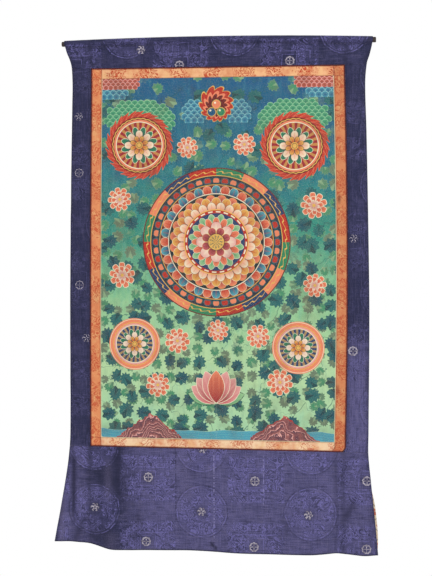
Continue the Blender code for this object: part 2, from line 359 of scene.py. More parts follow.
def rim_loop(rows, columns):
    """Numbers of the grid's outer points, down the left side and on anticlockwise."""
    number = np.arange(rows * columns).reshape(rows, columns)
    sides = (number[:-1, 0], number[-1, :-1], number[:0:-1, -1], number[0, :0:-1])
    return np.concatenate(sides)


def mesh_object(name, points, faces, uv=None, fields=None):
    """An object at the origin from arrays of points and quads, smooth, with its data."""
    mesh = bpy.data.meshes.new(name)
    mesh.vertices.add(len(points))
    mesh.vertices.foreach_set("co", points.astype(np.float32).ravel())
    mesh.loops.add(faces.size)
    mesh.loops.foreach_set("vertex_index", faces.astype(np.int32).ravel())
    mesh.polygons.add(len(faces))
    mesh.polygons.foreach_set("loop_start", np.arange(0, faces.size, 4, dtype=np.int32))
    mesh.update(calc_edges=True)
    mesh.validate()
    if uv is not None:
        layer = mesh.uv_layers.new(name="cloth")
        layer.data.foreach_set("uv", uv[faces.ravel()].astype(np.float32).ravel())
    for title, values in (fields or {}).items():
        kind, key = ("FLOAT", "value") if values.ndim == 1 else ("FLOAT_VECTOR", "vector")
        stored = mesh.attributes.new(title, kind, "POINT")
        stored.data.foreach_set(key, values.astype(np.float32).ravel())
    mesh.shade_smooth()
    mesh.set_sharp_from_angle(angle=math.radians(50))
    piece = bpy.data.objects.new(name, mesh)
    bpy.context.scene.collection.objects.link(piece)
    return piece


def closed_sheet(name, front, back, uv, fields=None):
    """Front and back grids joined by a rim. uv and fields are given for the front."""
    rows, columns = front.shape[:2]
    count = rows * columns
    loop = rim_loop(rows, columns)
    following = np.roll(loop, -1)
    rim = np.stack((following, loop, loop + count, following + count), -1)
    faces = np.concatenate((grid_faces(rows, columns), grid_faces(rows, columns, count)[:, ::-1], rim))
    points = np.concatenate((front.reshape(-1, 3), back.reshape(-1, 3)))
    both = {
        title: np.concatenate([values.reshape(count, *values.shape[2:])] * 2)
        for title, values in (fields or {}).items()
    }
    return mesh_object(name, points, faces, np.concatenate([uv.reshape(-1, 2)] * 2), both)


def eased_edges(y, drop=EDGE_DROP):
    """The grid's outermost line moved back, so that the edge is rounded."""
    y = y.copy()
    y[0], y[-1] = y[0] + drop, y[-1] + drop
    y[1:-1, 0], y[1:-1, -1] = y[1:-1, 0] + drop, y[1:-1, -1] + drop
    return y


def level_sheet(name, top, bottom, left, right, pitch=PITCH, fields=None, drop=EDGE_DROP):
    """A piece of the frame between two depths and two edge lines left(depth), right(depth).

    A point is at x = mix(left, right, across) and z = -depth - slope times x.
    """
    middle = (top + bottom) / 2
    down = lines(bottom - top, pitch)[:, None]
    across = lines(right(middle) - left(middle), pitch)[None, :]
    depth = mix(top, bottom, down) + 0 * across
    x = mix(left(depth), right(depth), across)
    y = front_y(x, depth)
    z = -depth - SEAM_SLOPE * x
    front = np.stack((x, eased_edges(y, drop), z), -1)
    back = np.stack((x, y + CLOTH, z), -1)
    made = fields(x, depth) if fields else None
    return closed_sheet(name, front, back, np.stack((x, -depth), -1), made)


print("a 0.5 m side gets", len(lines(0.5)), "lines")

# %% [markdown]
# ## Arithmetic for shader nodes
# A weave or an ornament is a formula of the place on the cloth. Written as single nodes
# it would fill pages, so a small class stands for one value that runs through a node
# tree and has the arithmetic of a number. Each sum or product adds one Math node.

# %% A value in a node tree


def feed(tree, socket, value):
    """Links a wire to a socket, or writes a plain value into it."""
    if isinstance(value, Wire):
        tree.links.new(value.socket, socket)
    else:
        socket.default_value = value


class Wire:
    """One value that changes over a surface, in one node tree."""

    def __init__(self, tree, socket):
        self.tree = tree
        self.socket = socket

    def math(self, operation, *others, clamp=False):
        """A Math node with this value first."""
        step = self.tree.nodes.new("ShaderNodeMath")
        step.operation = operation
        step.use_clamp = clamp
        for place, value in enumerate((self, *others)):
            feed(self.tree, step.inputs[place], value)
        return Wire(self.tree, step.outputs[0])

    def __add__(self, other):
        return self.math("ADD", other)

    def __sub__(self, other):
        return self.math("SUBTRACT", other)

    def __mul__(self, other):
        return self.math("MULTIPLY", other)

    def __truediv__(self, other):
        return self.math("DIVIDE", other)

    def __neg__(self):
        return self.math("MULTIPLY", -1.0)

    def __abs__(self):
        return self.math("ABSOLUTE")

    def share(self, factor=1.0):
        """This value times a factor, kept between 0 and 1."""
        return self.math("MULTIPLY", factor, clamp=True)

    def below(self, limit):
        """How far this value lies under a limit."""
        return (-self) + limit

    def edge(self, softness=0.4):
        """0 where the value is negative and 1 where it is positive, over a soft edge."""
        return self.math("MULTIPLY_ADD", 1.0 / softness, 0.5, clamp=True)

    def line(self, place, width, softness=0.4):
        """1 on a line of that width where the value equals the place."""
        return abs(self - place).below(width / 2).edge(softness)

    def wrapped(self, period):
        """The value folded into one period round 0."""
        return self.math("WRAP", period / 2, -period / 2)

    def most(self, other):
        """The larger of two values."""
        return self.math("MAXIMUM", other)

    def least(self, other):
        """The smaller of two values."""
        return self.math("MINIMUM", other)


def new_node(tree, kind, inputs=None, **settings):
    """A node with its settings and inputs."""
    made = tree.nodes.new(kind)
    for name, value in settings.items():
        setattr(made, name, value)
    for name, value in (inputs or {}).items():
        feed(tree, made.inputs[name], value)
    return made


def colour(red, green, blue):
    """A colour as a painter would mix it on screen, 0 to 255, as light in a shader."""
    share = np.array((red, green, blue)) / 255.0
    light = np.where(share <= 0.04045, share / 12.92, ((share + 0.055) / 1.055) ** 2.4)
    return (*light.tolist(), 1.0)


def over(share, under, above):
    """The colour above laid over the colour under it, where the share is 1."""
    tree = share.tree
    layer = tree.nodes.new("ShaderNodeMix")
    layer.data_type = "RGBA"
    feed(tree, layer.inputs["Factor"], share)
    feed(tree, layer.inputs[6], under)
    feed(tree, layer.inputs[7], above)
    return Wire(tree, layer.outputs[2])


def disc(base, radius, size, tone):
    """A tone laid over the base where the radius is below the size."""
    return over(radius.below(size).edge(), base, tone)


def parts(vector):
    """The x, y and z of a vector as three wires."""
    split = new_node(vector.tree, "ShaderNodeSeparateXYZ", {"Vector": vector})
    return tuple(Wire(vector.tree, output) for output in split.outputs)


def joined(x, y, z=0.0):
    """A vector from three values."""
    vector = new_node(x.tree, "ShaderNodeCombineXYZ", {"X": x, "Y": y, "Z": z})
    return Wire(x.tree, vector.outputs[0])


def noise(vector, scale, detail=2.0, roughness=0.5, distortion=0.0):
    """A soft random value round 0.5 that changes about scale times for each unit."""
    inputs = {"Vector": vector, "Scale": scale, "Detail": detail, "Roughness": roughness}
    inputs["Distortion"] = distortion
    made = new_node(vector.tree, "ShaderNodeTexNoise", inputs, noise_dimensions="2D")
    return Wire(vector.tree, made.outputs["Fac"])


def cells(vector, feature="F1", randomness=1.0, scale=1.0):
    """A Voronoi node: a random point in each unit square, and how far each place is from it."""
    inputs = {"Vector": vector, "Scale": scale, "Randomness": randomness}
    return new_node(
        vector.tree, "ShaderNodeTexVoronoi", inputs, feature=feature, voronoi_dimensions="2D"
    )


def attribute(tree, name, output="Fac"):
    """A field of the mesh, read by its name."""
    made = new_node(tree, "ShaderNodeAttribute", attribute_name=name)
    return Wire(tree, made.outputs[output])


def polar(x, y):
    """Distance from the origin and angle round it."""
    return (x * x + y * y).math("SQRT"), y.math("ARCTAN2", x)


def times(vector, factor):
    """A vector times a number."""
    scaled = new_node(vector.tree, "ShaderNodeVectorMath", {0: vector}, operation="SCALE")
    scaled.inputs["Scale"].default_value = factor
    return Wire(vector.tree, scaled.outputs[0])


def cloth_place(tree):
    """The place on the cloth in mm, from the piece's own UV map, and its u and v."""
    uv = new_node(tree, "ShaderNodeUVMap", uv_map="cloth")
    place = times(Wire(tree, uv.outputs[0]), 1.0 / MM)
    u, v, _ = parts(place)
    return place, u, v


def object_place(tree):
    """X, y and z in millimetres, from the Object coordinates."""
    coordinates = new_node(tree, "ShaderNodeTexCoord")
    return parts(times(Wire(tree, coordinates.outputs["Object"]), 1.0 / MM))


def front_place(tree):
    """X and z in millimetres as one flat place."""
    x, _, z = object_place(tree)
    return joined(x, z)


def new_group(title, inputs, outputs):
    """An empty node group with named sockets, its input wires by name, and its end."""
    group = bpy.data.node_groups.new(title, "ShaderNodeTree")
    for name, kind in inputs:
        group.interface.new_socket(name, in_out="INPUT", socket_type=kind)
    for name, kind in outputs:
        group.interface.new_socket(name, in_out="OUTPUT", socket_type=kind)
    start = group.nodes.new("NodeGroupInput")
    end = group.nodes.new("NodeGroupOutput")
    return group, {name: Wire(group, start.outputs[name]) for name, _ in inputs}, end


def placed_group(tree, group, **values):
    """A group placed in a tree. Gives its outputs by name."""
    made = new_node(tree, "ShaderNodeGroup", node_tree=group)
    for name, value in values.items():
        feed(tree, made.inputs[name], value)
    return {output.name: Wire(tree, output) for output in made.outputs}


def new_material(name, roughness, sheen=0.0, metallic=0.0):
    """A material with a Principled shader whose constants are set on its own sockets."""
    material = bpy.data.materials.new(name)
    material.use_nodes = True
    tree = material.node_tree
    shader = tree.nodes["Principled BSDF"]
    shader.inputs["Roughness"].default_value = roughness
    shader.inputs["Metallic"].default_value = metallic
    shader.inputs["Sheen Weight"].default_value = sheen
    shader.inputs["Sheen Roughness"].default_value = 0.4
    shader.inputs["Specular IOR Level"].default_value = 0.35
    return material, tree, shader


def coat(shader, base, height, distance):
    """A colour, and a height in 0 to 1 that stands that many metres proud."""
    tree = height.tree
    feed(tree, shader.inputs["Base Color"], base)
    inputs = {"Height": height, "Distance": distance, "Strength": 1.0}
    raised = new_node(tree, "ShaderNodeBump", inputs)
    tree.links.new(raised.outputs[0], shader.inputs["Normal"])


NUMBER, VECTOR = "NodeSocketFloat", "NodeSocketVector"
print("navy as light:", [round(c, 3) for c in colour(60, 60, 105)])

# %% [markdown]
# ## Camera, light and floor
# The photograph was taken from a little to the right, level with the middle of the
# scroll, in even light on white. A long lens 2.6 m away matches its perspective. The
# floor is pale and lies well below the hem, and there is no wall, so the scroll can be
# looked at from all round.

# %% Stage
VIEW_ANGLE = math.radians(7)
VIEW_DISTANCE = 2.6
FOCAL_PIXELS = 1182
IMAGE_HEIGHT = 576
SENSOR = 36.0
aim = Vector((-0.001, 0.0, -0.547))
away = Vector((math.sin(VIEW_ANGLE), -math.cos(VIEW_ANGLE), 0.0))
camera = bpy.data.objects.new("camera", bpy.data.cameras.new("camera"))
camera.data.sensor_width = SENSOR
camera.data.lens = SENSOR * FOCAL_PIXELS / IMAGE_HEIGHT
camera.location = aim + away * VIEW_DISTANCE
camera.rotation_euler = (-away).to_track_quat("-Z", "Y").to_euler()
bpy.context.scene.collection.objects.link(camera)
bpy.context.scene.camera = camera
bpy.context.scene.view_settings.view_transform = "Standard"

WORLD_LIGHT = 0.66
world = bpy.data.worlds.new("studio")
world.use_nodes = True
bpy.context.scene.world = world
sky = world.node_tree
backdrop = sky.nodes["Background"]
seen = sky.nodes.new("ShaderNodeLightPath")
strength = Wire(sky, seen.outputs["Is Camera Ray"]) * (1.0 - WORLD_LIGHT) + WORLD_LIGHT
feed(sky, backdrop.inputs["Color"], (1.0, 1.0, 1.0, 1.0))
feed(sky, backdrop.inputs["Strength"], strength)


def area_light(name, place, size, power):
    """A square lamp that faces the middle of the scroll."""
    lamp = bpy.data.objects.new(name, bpy.data.lights.new(name, "AREA"))
    lamp.data.size = size
    lamp.data.energy = power
    lamp.location = place
    lamp.rotation_euler = (aim - Vector(place)).to_track_quat("-Z", "Y").to_euler()
    bpy.context.scene.collection.objects.link(lamp)


area_light("key", (2.5, -1.7, 0.6), 1.1, 34.0)
area_light("fill", (-1.6, -2.4, -0.2), 1.6, 9.0)

FLOOR_Z = -1.9
FLOOR_REACH = 2.8
FLOOR_LINES = 33


def round_floor():
    """A square grid pressed into a circle: each side shrinks by half the other's square."""
    side = np.linspace(-1.0, 1.0, FLOOR_LINES)
    u, v = np.meshgrid(side, -side)
    x = FLOOR_REACH * u * np.sqrt(1.0 - v**2 / 2)
    y = FLOOR_REACH * v * np.sqrt(1.0 - u**2 / 2)
    points = np.stack((x, y, np.full_like(x, FLOOR_Z)), -1).reshape(-1, 3)
    return mesh_object("floor", points, grid_faces(FLOOR_LINES, FLOOR_LINES))


floor = round_floor()
floor_material, _, floor_shader = new_material("pale_floor", 0.8)
floor_shader.inputs["Base Color"].default_value = colour(238, 238, 236)
floor.data.materials.append(floor_material)
print("camera", [round(c, 3) for c in camera.location], "lens", round(camera.data.lens, 1))

# %% [markdown]
# ## Weave and age, shared by all the cloths
# Every cloth here is woven, and all have hung in the same smoke and sun. Two small node
# groups do this once: one gives the height of warp and weft with the odd thick thread,
# the other the slow blotches of dust and fading. Each material places them with its own
# thread pitch and amounts.

# %% Node groups for weave and age


def weave_group():
    """Two sine waves at right angles, the warp over and under the weft, and slubs."""
    group, given, end = new_group(
        "weave", [("Place", VECTOR), ("Pitch", NUMBER)], [("Height", NUMBER), ("Slub", NUMBER)]
    )
    u, v, _ = parts(given["Place"])
    turn_u = u * math.tau / given["Pitch"]
    turn_v = v * math.tau / given["Pitch"]
    warp = turn_u.math("SINE")
    weft = turn_v.math("SINE")
    height = (warp * weft + 1.0) * 0.5
    thick_weft = noise(joined(u * 0.02, v * 0.9), 1.0, 3.0, 0.7)
    thick_warp = noise(joined(u * 0.9, v * 0.02), 1.0, 3.0, 0.7)
    slub = (thick_weft + thick_warp - 1.0) * 0.9 + 0.5
    feed(group, end.inputs["Height"], height)
    feed(group, end.inputs["Slub"], slub)
    return group


def age_group():
    """Slow random blotches in three sizes: a value round 0.5, darker where it is low."""
    group, given, end = new_group(
        "age", [("Place", VECTOR), ("Size", NUMBER)], [("Blotch", NUMBER), ("Grain", NUMBER)]
    )
    blotch = noise(given["Place"], given["Size"].math("POWER", -1.0), 4.0, 0.6)
    grain = noise(given["Place"], 0.6, 2.0, 0.6)
    feed(group, end.inputs["Blotch"], blotch)
    feed(group, end.inputs["Grain"], grain)
    return group


WEAVE, AGE = weave_group(), age_group()


def woven(place, pitch, size):
    """The weave and the age at a place, with the pitch of threads and size of blotches."""
    weave = placed_group(place.tree, WEAVE, Place=place, Pitch=pitch)
    return weave, placed_group(place.tree, AGE, Place=place, Size=size)


print("groups:", WEAVE.name, AGE.name)

# %% [markdown]
# ## The navy damask
# The mount is one silk: navy, with a raised figure in the same colour that only shows
# because its floating threads catch more light, so the figure is painted lighter as
# painted sheen and the fine lines beside it darker as painted shade. The figure repeats
# every 240 by 144 mm.
# A fret of bars stands round each silver coin, and a round cloud medallion round each
# silver star. Both are distance formulas in one node group, and the four pieces of the
# mount place it at their own part of the silk.

# %% The figure of the damask

REPEAT_ACROSS = 240.0
REPEAT_DOWN = 144.0
BAR_DOWN, BAR_REACH = 24.0, 46.0  # the level bars of the fret, above and below a coin
CAP_DOWN, CAP_REACH = 47.0, 18.0  # the short bars beyond them
BOX_REACH = 16.5  # the square round the coin
RIM_REACH, INNER_RIM = 55.0, 50.0  # the two circles of a medallion
STAR_CLEAR = 15.0  # how far the clouds keep from a star


def damask_group():
    """Place in mm with a coin at 0, 0.

    The first output is 1 on the raised threads, which the material paints lighter as painted sheen;
    the second is 1 on the fine lines beside them, which it paints darker as painted shade.
    The cloud scrolls are the level lines of a noise that has been stirred.
    """
    outputs = [("Figure", NUMBER), ("SunkShade", NUMBER)]
    group, given, end = new_group("damask", [("Place", VECTOR)], outputs)
    u, v, _ = parts(given["Place"])
    wobble = noise(given["Place"], 0.05, 1.0) * 4.0 - 2.0
    across = abs((u + wobble).wrapped(REPEAT_ACROSS))
    down = abs((v + wobble * 0.5).wrapped(REPEAT_DOWN))
    swirl = noise(given["Place"], 0.042, 1.0, 0.5, 2.2)
    scroll = (swirl * 34.0).math("SINE")
    patch = (noise(given["Place"], 0.04, 2.0, 0.6) - 0.46).edge(0.07)
    worn = (noise(given["Place"], 0.12, 3.0, 0.65) - 0.44).edge(0.1)

    bars = down.line(BAR_DOWN, 2.4) * across.below(BAR_REACH).edge()
    caps = down.line(CAP_DOWN, 2.0) * across.below(CAP_REACH).edge()
    ticks = across.line(CAP_REACH, 1.8) * (down - BAR_DOWN).edge() * down.below(CAP_DOWN).edge()
    box = across.most(down).line(BOX_REACH, 1.6)
    ends = across.line(BAR_REACH, 2.2) * down.below(BAR_DOWN).edge() * (down - 7.0).edge()
    fret = bars.most(caps).most(ticks).most(box).most(ends) * worn
    beside = across.below(BAR_REACH + 16).edge(6.0) * down.below(CAP_DOWN + 3).edge(6.0)
    beside = beside * (across.most(down) - (BOX_REACH + 2.5)).edge(2.0)

    star_across = (u + wobble + REPEAT_ACROSS / 2).wrapped(REPEAT_ACROSS)
    star_down = (v + wobble * 0.5 + REPEAT_DOWN / 2).wrapped(REPEAT_DOWN)
    reach, _ = polar(star_across, star_down)
    rims = reach.line(RIM_REACH, 2.2).most(reach.line(INNER_RIM, 1.0))
    rim = rims * worn * (patch * 0.8 + 0.2)
    medallion = reach.below(INNER_RIM + 1).edge(2.0) * (reach - STAR_CLEAR).edge(2.0)

    area = beside.most(medallion)
    clouds = scroll.edge(0.6) * (patch * 0.75 + 0.25) * area
    # Painted shade: fine dark lines beside the raised figure.
    sunk_shade = (scroll + 0.35).below(0.0).edge(0.4) * (patch * 0.6 + 0.4) * area
    groove = down.line(BAR_DOWN + 3.5, 1.6) * across.below(BAR_REACH - 2).edge(4.0) * worn
    sunk_shade = sunk_shade.most(reach.line(RIM_REACH + 3.5, 1.8) * worn).most(groove * 0.8)
    fill = medallion * 0.16
    feed(group, end.inputs["Figure"], fret.most(rim).most(clouds).most(fill))
    feed(group, end.inputs["SunkShade"], sunk_shade)
    return group


DAMASK = damask_group()

# %% The silk itself

# Navy tones: the faded and worn ones also serve as painted light, the figure one as painted sheen, and
# the dark one also as painted shade.
NAVY_FRESH = colour(30, 33, 72)
NAVY_FADED_AND_LIT = colour(92, 88, 136)
NAVY_WORN_AND_LIT = colour(112, 104, 140)
NAVY_SHEEN_AND_FLECK = colour(122, 116, 186)
NAVY_DARK = colour(20, 21, 56)
CREASE_LIGHT = colour(150, 144, 196)

# Upright creases: x, top and foot in mm, how strong, and their colour
CREASE_LINES = (
    (-5.0, -905.0, -1095.0, 0.75, CREASE_LIGHT),
    (104.0, -915.0, -1020.0, 0.60, CREASE_LIGHT),
    (-90.0, -905.0, -1060.0, 0.80, NAVY_DARK),
    (222.0, -960.0, -1110.0, 0.35, NAVY_DARK),
)


def damask_material(name, start, turned, figure_share, creases=()):
    """The silk, with a coin of its figure at start (mm). Turned silk runs up the strip."""
    material, tree, shader = new_material(name, 0.55, sheen=0.1)
    place, u, v = cloth_place(tree)
    u, v = u - start[0], v - start[1]
    silk = joined(v, u) if turned else joined(u, v)
    damask = placed_group(tree, DAMASK, Place=silk)
    figure, sunk_shade = damask["Figure"], damask["SunkShade"]
    weave, age = woven(place, 0.9, 70.0)
    fine = placed_group(tree, AGE, Place=place, Size=14.0)
    # The fade field is real fading mixed with painted light: lighter down the right strip and over the
    # bottom panel, darker over the panel's left folds.
    faded_and_lit = attribute(tree, "fade") + (age["Blotch"] - 0.5) * 0.9 + (fine["Blotch"] - 0.5) * 0.45
    base = over(faded_and_lit.share(), NAVY_FRESH, NAVY_FADED_AND_LIT)
    level = noise(joined(u * 0.025, v * 0.42), 1.0, 3.0, 0.7)
    upright = noise(joined(u * 0.42, v * 0.025), 1.0, 3.0, 0.7)
    streak = upright if turned else level
    light = ((level + upright + streak) * 0.333 - 0.5) * 3.2
    # How far the fade field, painted light included, lets the lighter streaks show.
    wear = (attribute(tree, "fade") + 0.45).share()
    base = over(light.share() * wear, base, NAVY_WORN_AND_LIT)
    base = over((-light).share(1.3) * (wear * 0.6 + 0.4), base, NAVY_DARK)
    speckle = (weave["Slub"] - 0.5) * 2.4 + 0.7
    # Painted sheen: the raised figure is painted lighter, where its floating threads would catch the
    # light.
    base = over(figure * speckle * figure_share, base, NAVY_SHEEN_AND_FLECK)
    # Painted shade in the fine sunk lines beside the figure.
    base = over(sunk_shade * 0.5, base, NAVY_DARK)
    fleck = (age["Grain"] - 0.62).edge(0.06) * (fine["Blotch"] - 0.45).edge(0.1)
    base = over(fleck * wear * 0.4, base, NAVY_SHEEN_AND_FLECK)
    pit = age["Grain"].below(0.36).edge(0.05) * (age["Blotch"] - 0.42).edge(0.1)
    base = over(pit * 0.5, base, NAVY_DARK)
    for crease_u, top, foot, amount, tone in creases:
        drift = noise(joined(v, v), 0.02, 2.0) * 3.0 - 1.5
        line = (u + start[0] + drift).line(crease_u, 2.0, 1.2)
        dots = (noise(joined(v, u * 0.1), 0.24, 1.0) - 0.50).edge(0.08)
        span = (v + start[1]).below(top).edge(8.0) * (v + start[1] - foot).edge(8.0)
        base = over(line * dots * span * amount, base, tone)
    # Painted shade along the edges, seams, hem, sleeve stitch and folds and round the silver motifs,
    # with a few real stains.
    base = over(attribute(tree, "shade_and_stain"), base, NAVY_DARK)
    # Painted highlight on the fold ridges, broken up by the grain like rubbed silk.
    base = over(attribute(tree, "highlight_and_rub") * ((age["Grain"] - 0.3) * 2.5), base, NAVY_WORN_AND_LIT)
    feed(tree, shader.inputs["Roughness"], figure.below(1.0) * 0.2 + 0.42)
    height = figure * 0.6 + weave["Height"] * 0.3 + light * 0.3 + weave["Slub"] * 0.3
    coat(shader, base, height, 0.0003)
    return material


# %% [markdown]
# ## The four pieces of the mount
# The side strips and the bottom panel are plain sheets with folds. The top panel turns
# over the rod: its profile starts as a short flap behind, climbs round the rod and comes
# down in front, where a row of stitches closes the sleeve. The profile is carried along
# the bowed rod.

# %% Where the silver motifs sit: x and z in millimetres

COINS = (
    (-151.6, -965.7), (85.1, -969.9), (328.5, -965.0),
    (-156.1, -1107.6), (82.9, -1114.5), (327.4, -1112.3),
    (-82.0, -55.8), (161.3, -51.3), (298.4, -683.7),
)
STARS = ((-272.5, -1034.9), (-33.2, -1039.4), (202.1, -1041.6), (-168.5, -19.4), (-30.9, -901.7))
FAINT_COINS = ((-308.1, -290.5), (-306.7, -540.4))
FAINT_STARS = ((-291.4, -658.5), (-309.0, -165.0), (300.0, -440.0))

# %% Wear, stains, and painted light and shade of the mount

# Dark places of the bottom panel, mostly painted shadow in the fold troughs and the lower left hollow,
# with a few real stains at the middle of the hem: x, depth, half width, half height, lean, amount
FOLD_SHADOWS_AND_STAINS = (
    (-0.322, 0.985, 0.0055, 0.085, 0.00, 0.82),
    (-0.221, 0.950, 0.0120, 0.055, 0.00, 0.72),
    (-0.252, 0.965, 0.0360, 0.018, 0.00, 0.50),
    (-0.228, 0.985, 0.0080, 0.035, -0.50, 0.70),
    (-0.308, 1.085, 0.0110, 0.030, 0.35, 0.60),
    (-0.262, 1.096, 0.0260, 0.018, 0.00, 0.40),
    (0.288, 1.035, 0.0090, 0.034, 0.50, 0.60),
    (0.262, 1.000, 0.0060, 0.110, 0.00, 0.35),
    (0.276, 0.925, 0.0180, 0.012, 0.00, 0.40),
    (-0.008, 1.112, 0.0045, 0.006, -0.50, 0.95),
    (-0.001, 1.119, 0.0035, 0.005, 0.30, 0.90),
    (0.050, 1.118, 0.0030, 0.004, 0.00, 0.70),
    (-0.176, 1.080, 0.0120, 0.030, 0.10, 0.35),
    (0.338, 1.060, 0.0070, 0.060, 0.00, 0.35),
    (0.150, 1.075, 0.0150, 0.030, 0.60, 0.25),
)
# Lighter lines, in the same columns: painted highlights on the fold ridges and the turned left flap,
# broken up like rubbed silk
LIT_RIDGES_AND_RUBS = (
    (-0.243, 0.975, 0.0090, 0.050, 0.00, 0.45),
    (-0.234, 1.110, 0.0150, 0.020, 0.00, 0.40),
    (-0.346, 1.060, 0.0050, 0.060, 0.00, 0.55),
    (-0.070, 0.960, 0.0140, 0.060, 0.00, 0.25),
)


def silk_fade_and_light(x, depth):
    """Real fading with painted light, 0 darkest and 1 lightest: more down the right strip and over the
    panel, less as painted shade over the panel's left folds.
    """
    right = smoothstep((x - 0.2) / 0.05)
    strip = mix(0.30 * depth - 0.34, -0.14 + 1.06 * smoothstep((depth - 0.60) / 0.12), right)
    top = 0.04 * smoothstep((0.065 - depth) / 0.02) * (1.0 - 0.6 * smoothstep((-0.2 - x) / 0.1))
    # Painted shade: the bell at x = -0.24 darkens the panel over its left folds.
    panel = 0.76 - 0.80 * bell(x + 0.240, 0.055) - 0.10 * smoothstep((x - 0.24) / 0.1)
    return np.maximum(mix(strip, panel, smoothstep((depth - 0.895) / 0.008)), top)


SHADOW_REACH = 0.0125


def motif_shadow(x, z):
    """A dark ring of painted shade round each silver motif."""
    middles = np.array(COINS + STARS) * MM
    reach = np.full(np.shape(x), 1.0)
    for place_x, place_z in middles:
        reach = np.minimum(reach, np.hypot(x - place_x, z - place_z))
    return 0.42 * bell(reach, SHADOW_REACH, 4)


def edge_fields(x, depth):
    """Three fields: painted shade along the outer edges, beside the seams and round the silver motifs;
    a highlight field, 0 here; and fading mixed with painted light.
    """
    from_edge = np.minimum(x - left_edge(depth), right_edge(depth) - x)
    ragged = 0.0045 * (1 + 0.5 * np.sin(depth * 130 + 3 * np.sin(depth * 47)))
    seam = np.abs(x) - border_half(x, depth)
    # Painted shade: darker along the turned outer edges and just beside the seams.
    shade_and_stain = np.maximum(0.75 * bell(from_edge, ragged), 0.45 * bell(seam - 0.003, 0.006))
    # Painted shade round each silver motif.
    shade_and_stain = np.maximum(shade_and_stain, motif_shadow(x, -depth - SEAM_SLOPE * x))
    return {"shade_and_stain": shade_and_stain, "highlight_and_rub": 0.0 * shade_and_stain, "fade": silk_fade_and_light(x, depth)}


def panel_fields(x, depth, hem_share):
    """The same for the bottom panel, adding painted shade at the hem, painted shadow in the folds with
    a few real stains, and painted highlights on the ridges.
    """
    fields = edge_fields(x, depth - SEAM_SLOPE * x)
    # Painted shade along the rolled hem.
    shade_and_stain = np.maximum(fields["shade_and_stain"], smoothstep((hem_share - 0.980) / 0.012))
    # Painted shadow in the fold troughs and the lower left hollow, and a few real stains.
    shade_and_stain = np.maximum(shade_and_stain, spots(FOLD_SHADOWS_AND_STAINS, x, depth, 4))
    # Painted highlights on the fold ridges and the turned left flap.
    return {**fields, "shade_and_stain": shade_and_stain, "highlight_and_rub": spots(LIT_RIDGES_AND_RUBS, x, depth, 4)}


# %% The side strips

JOIN = 2 * GAP + WELT
STRIP_PITCH = 0.0030
mount_left = level_sheet(
    "navy_strip_left", TOP_SEAM + GAP, BOTTOM_SEAM - GAP,
    left_edge, side_line(-1, JOIN), STRIP_PITCH, edge_fields,
)
mount_right = level_sheet(
    "navy_strip_right", TOP_SEAM + GAP, BOTTOM_SEAM - GAP,
    side_line(1, JOIN), right_edge, STRIP_PITCH, edge_fields,
)
mount_left.data.materials.append(
    damask_material("navy_silk_left", (-307.0, -290.5), True, 0.26)
)
mount_right.data.materials.append(
    damask_material("navy_silk_right", (298.4, -683.7), True, 0.30)
)
print("side strips:", len(mount_left.data.polygons) + len(mount_right.data.polygons), "faces")

# %% The bottom panel

PANEL_PITCH = 0.0034
PANEL_WIDE = 0.697
HEM_ROLL = 0.0005


def panel_surface(place, share):
    """Place is 0 to 1 across and share 0 to 1 from the seam down to the hem.

    X runs between the two side curves, and z between the seam's line and the hem's.
    """
    nominal = mix(BOTTOM_SEAM, HEM_DEPTH, share)
    x = mix(left_edge(nominal), right_edge(nominal), place)
    z = -mix(BOTTOM_SEAM + SEAM_SLOPE * x, hem_line(x), share)
    return x, nominal, z


def bottom_panel():
    """The flared panel, with a narrow rolled hem along its foot."""
    place = lines(PANEL_WIDE, PANEL_PITCH)[None, :]
    share = lines(HEM_DEPTH - BOTTOM_SEAM, PANEL_PITCH)[:, None] + 0 * place
    x, nominal, z = panel_surface(place + 0 * share, share)
    hem_roll = HEM_ROLL * bell(1.0 - share, 0.02) * smoothstep(share * 50)
    y = front_y(x, nominal) - hem_roll
    front = np.stack((x, eased_edges(y), z), -1)
    back = np.stack((x, front_y(x, nominal) + CLOTH, z), -1)
    fields = panel_fields(x, -z, share)
    return closed_sheet("navy_bottom_panel", front, back, np.stack((x, z), -1), fields)


mount_bottom = bottom_panel()
mount_bottom.data.materials.append(
    damask_material("navy_silk_bottom", (87.0, -967.5), False, 0.80, CREASE_LINES)
)
print("bottom panel:", len(mount_bottom.data.polygons), "faces")

# %% The top panel and its sleeve

TOP_WIDE = 0.66
GATHER_HEIGHT = 0.00018
GATHER_LENGTH = 0.031


def sleeve_path(radius, steps=22):
    """Y and z of a strap laid round the rod, from the flap behind to the stitch in front.

    Two tangents run from the stitch to a circle of that radius, and an arc joins them.
    """
    gap = LAYER_GAP / 2 + (radius - SLEEVE_RADIUS)
    reach = math.hypot(gap, STITCH)
    turn = math.pi / 2 + math.asin(radius / reach) - math.atan2(gap, STITCH)
    angle = np.linspace(turn, -turn, steps)
    arc = np.column_stack((radius * np.sin(angle), radius * np.cos(angle)))
    flap = np.column_stack((np.full(4, gap), np.linspace(-FLAP_END, -STITCH, 4)))
    return np.concatenate((flap, arc, [(-gap, -STITCH)]))


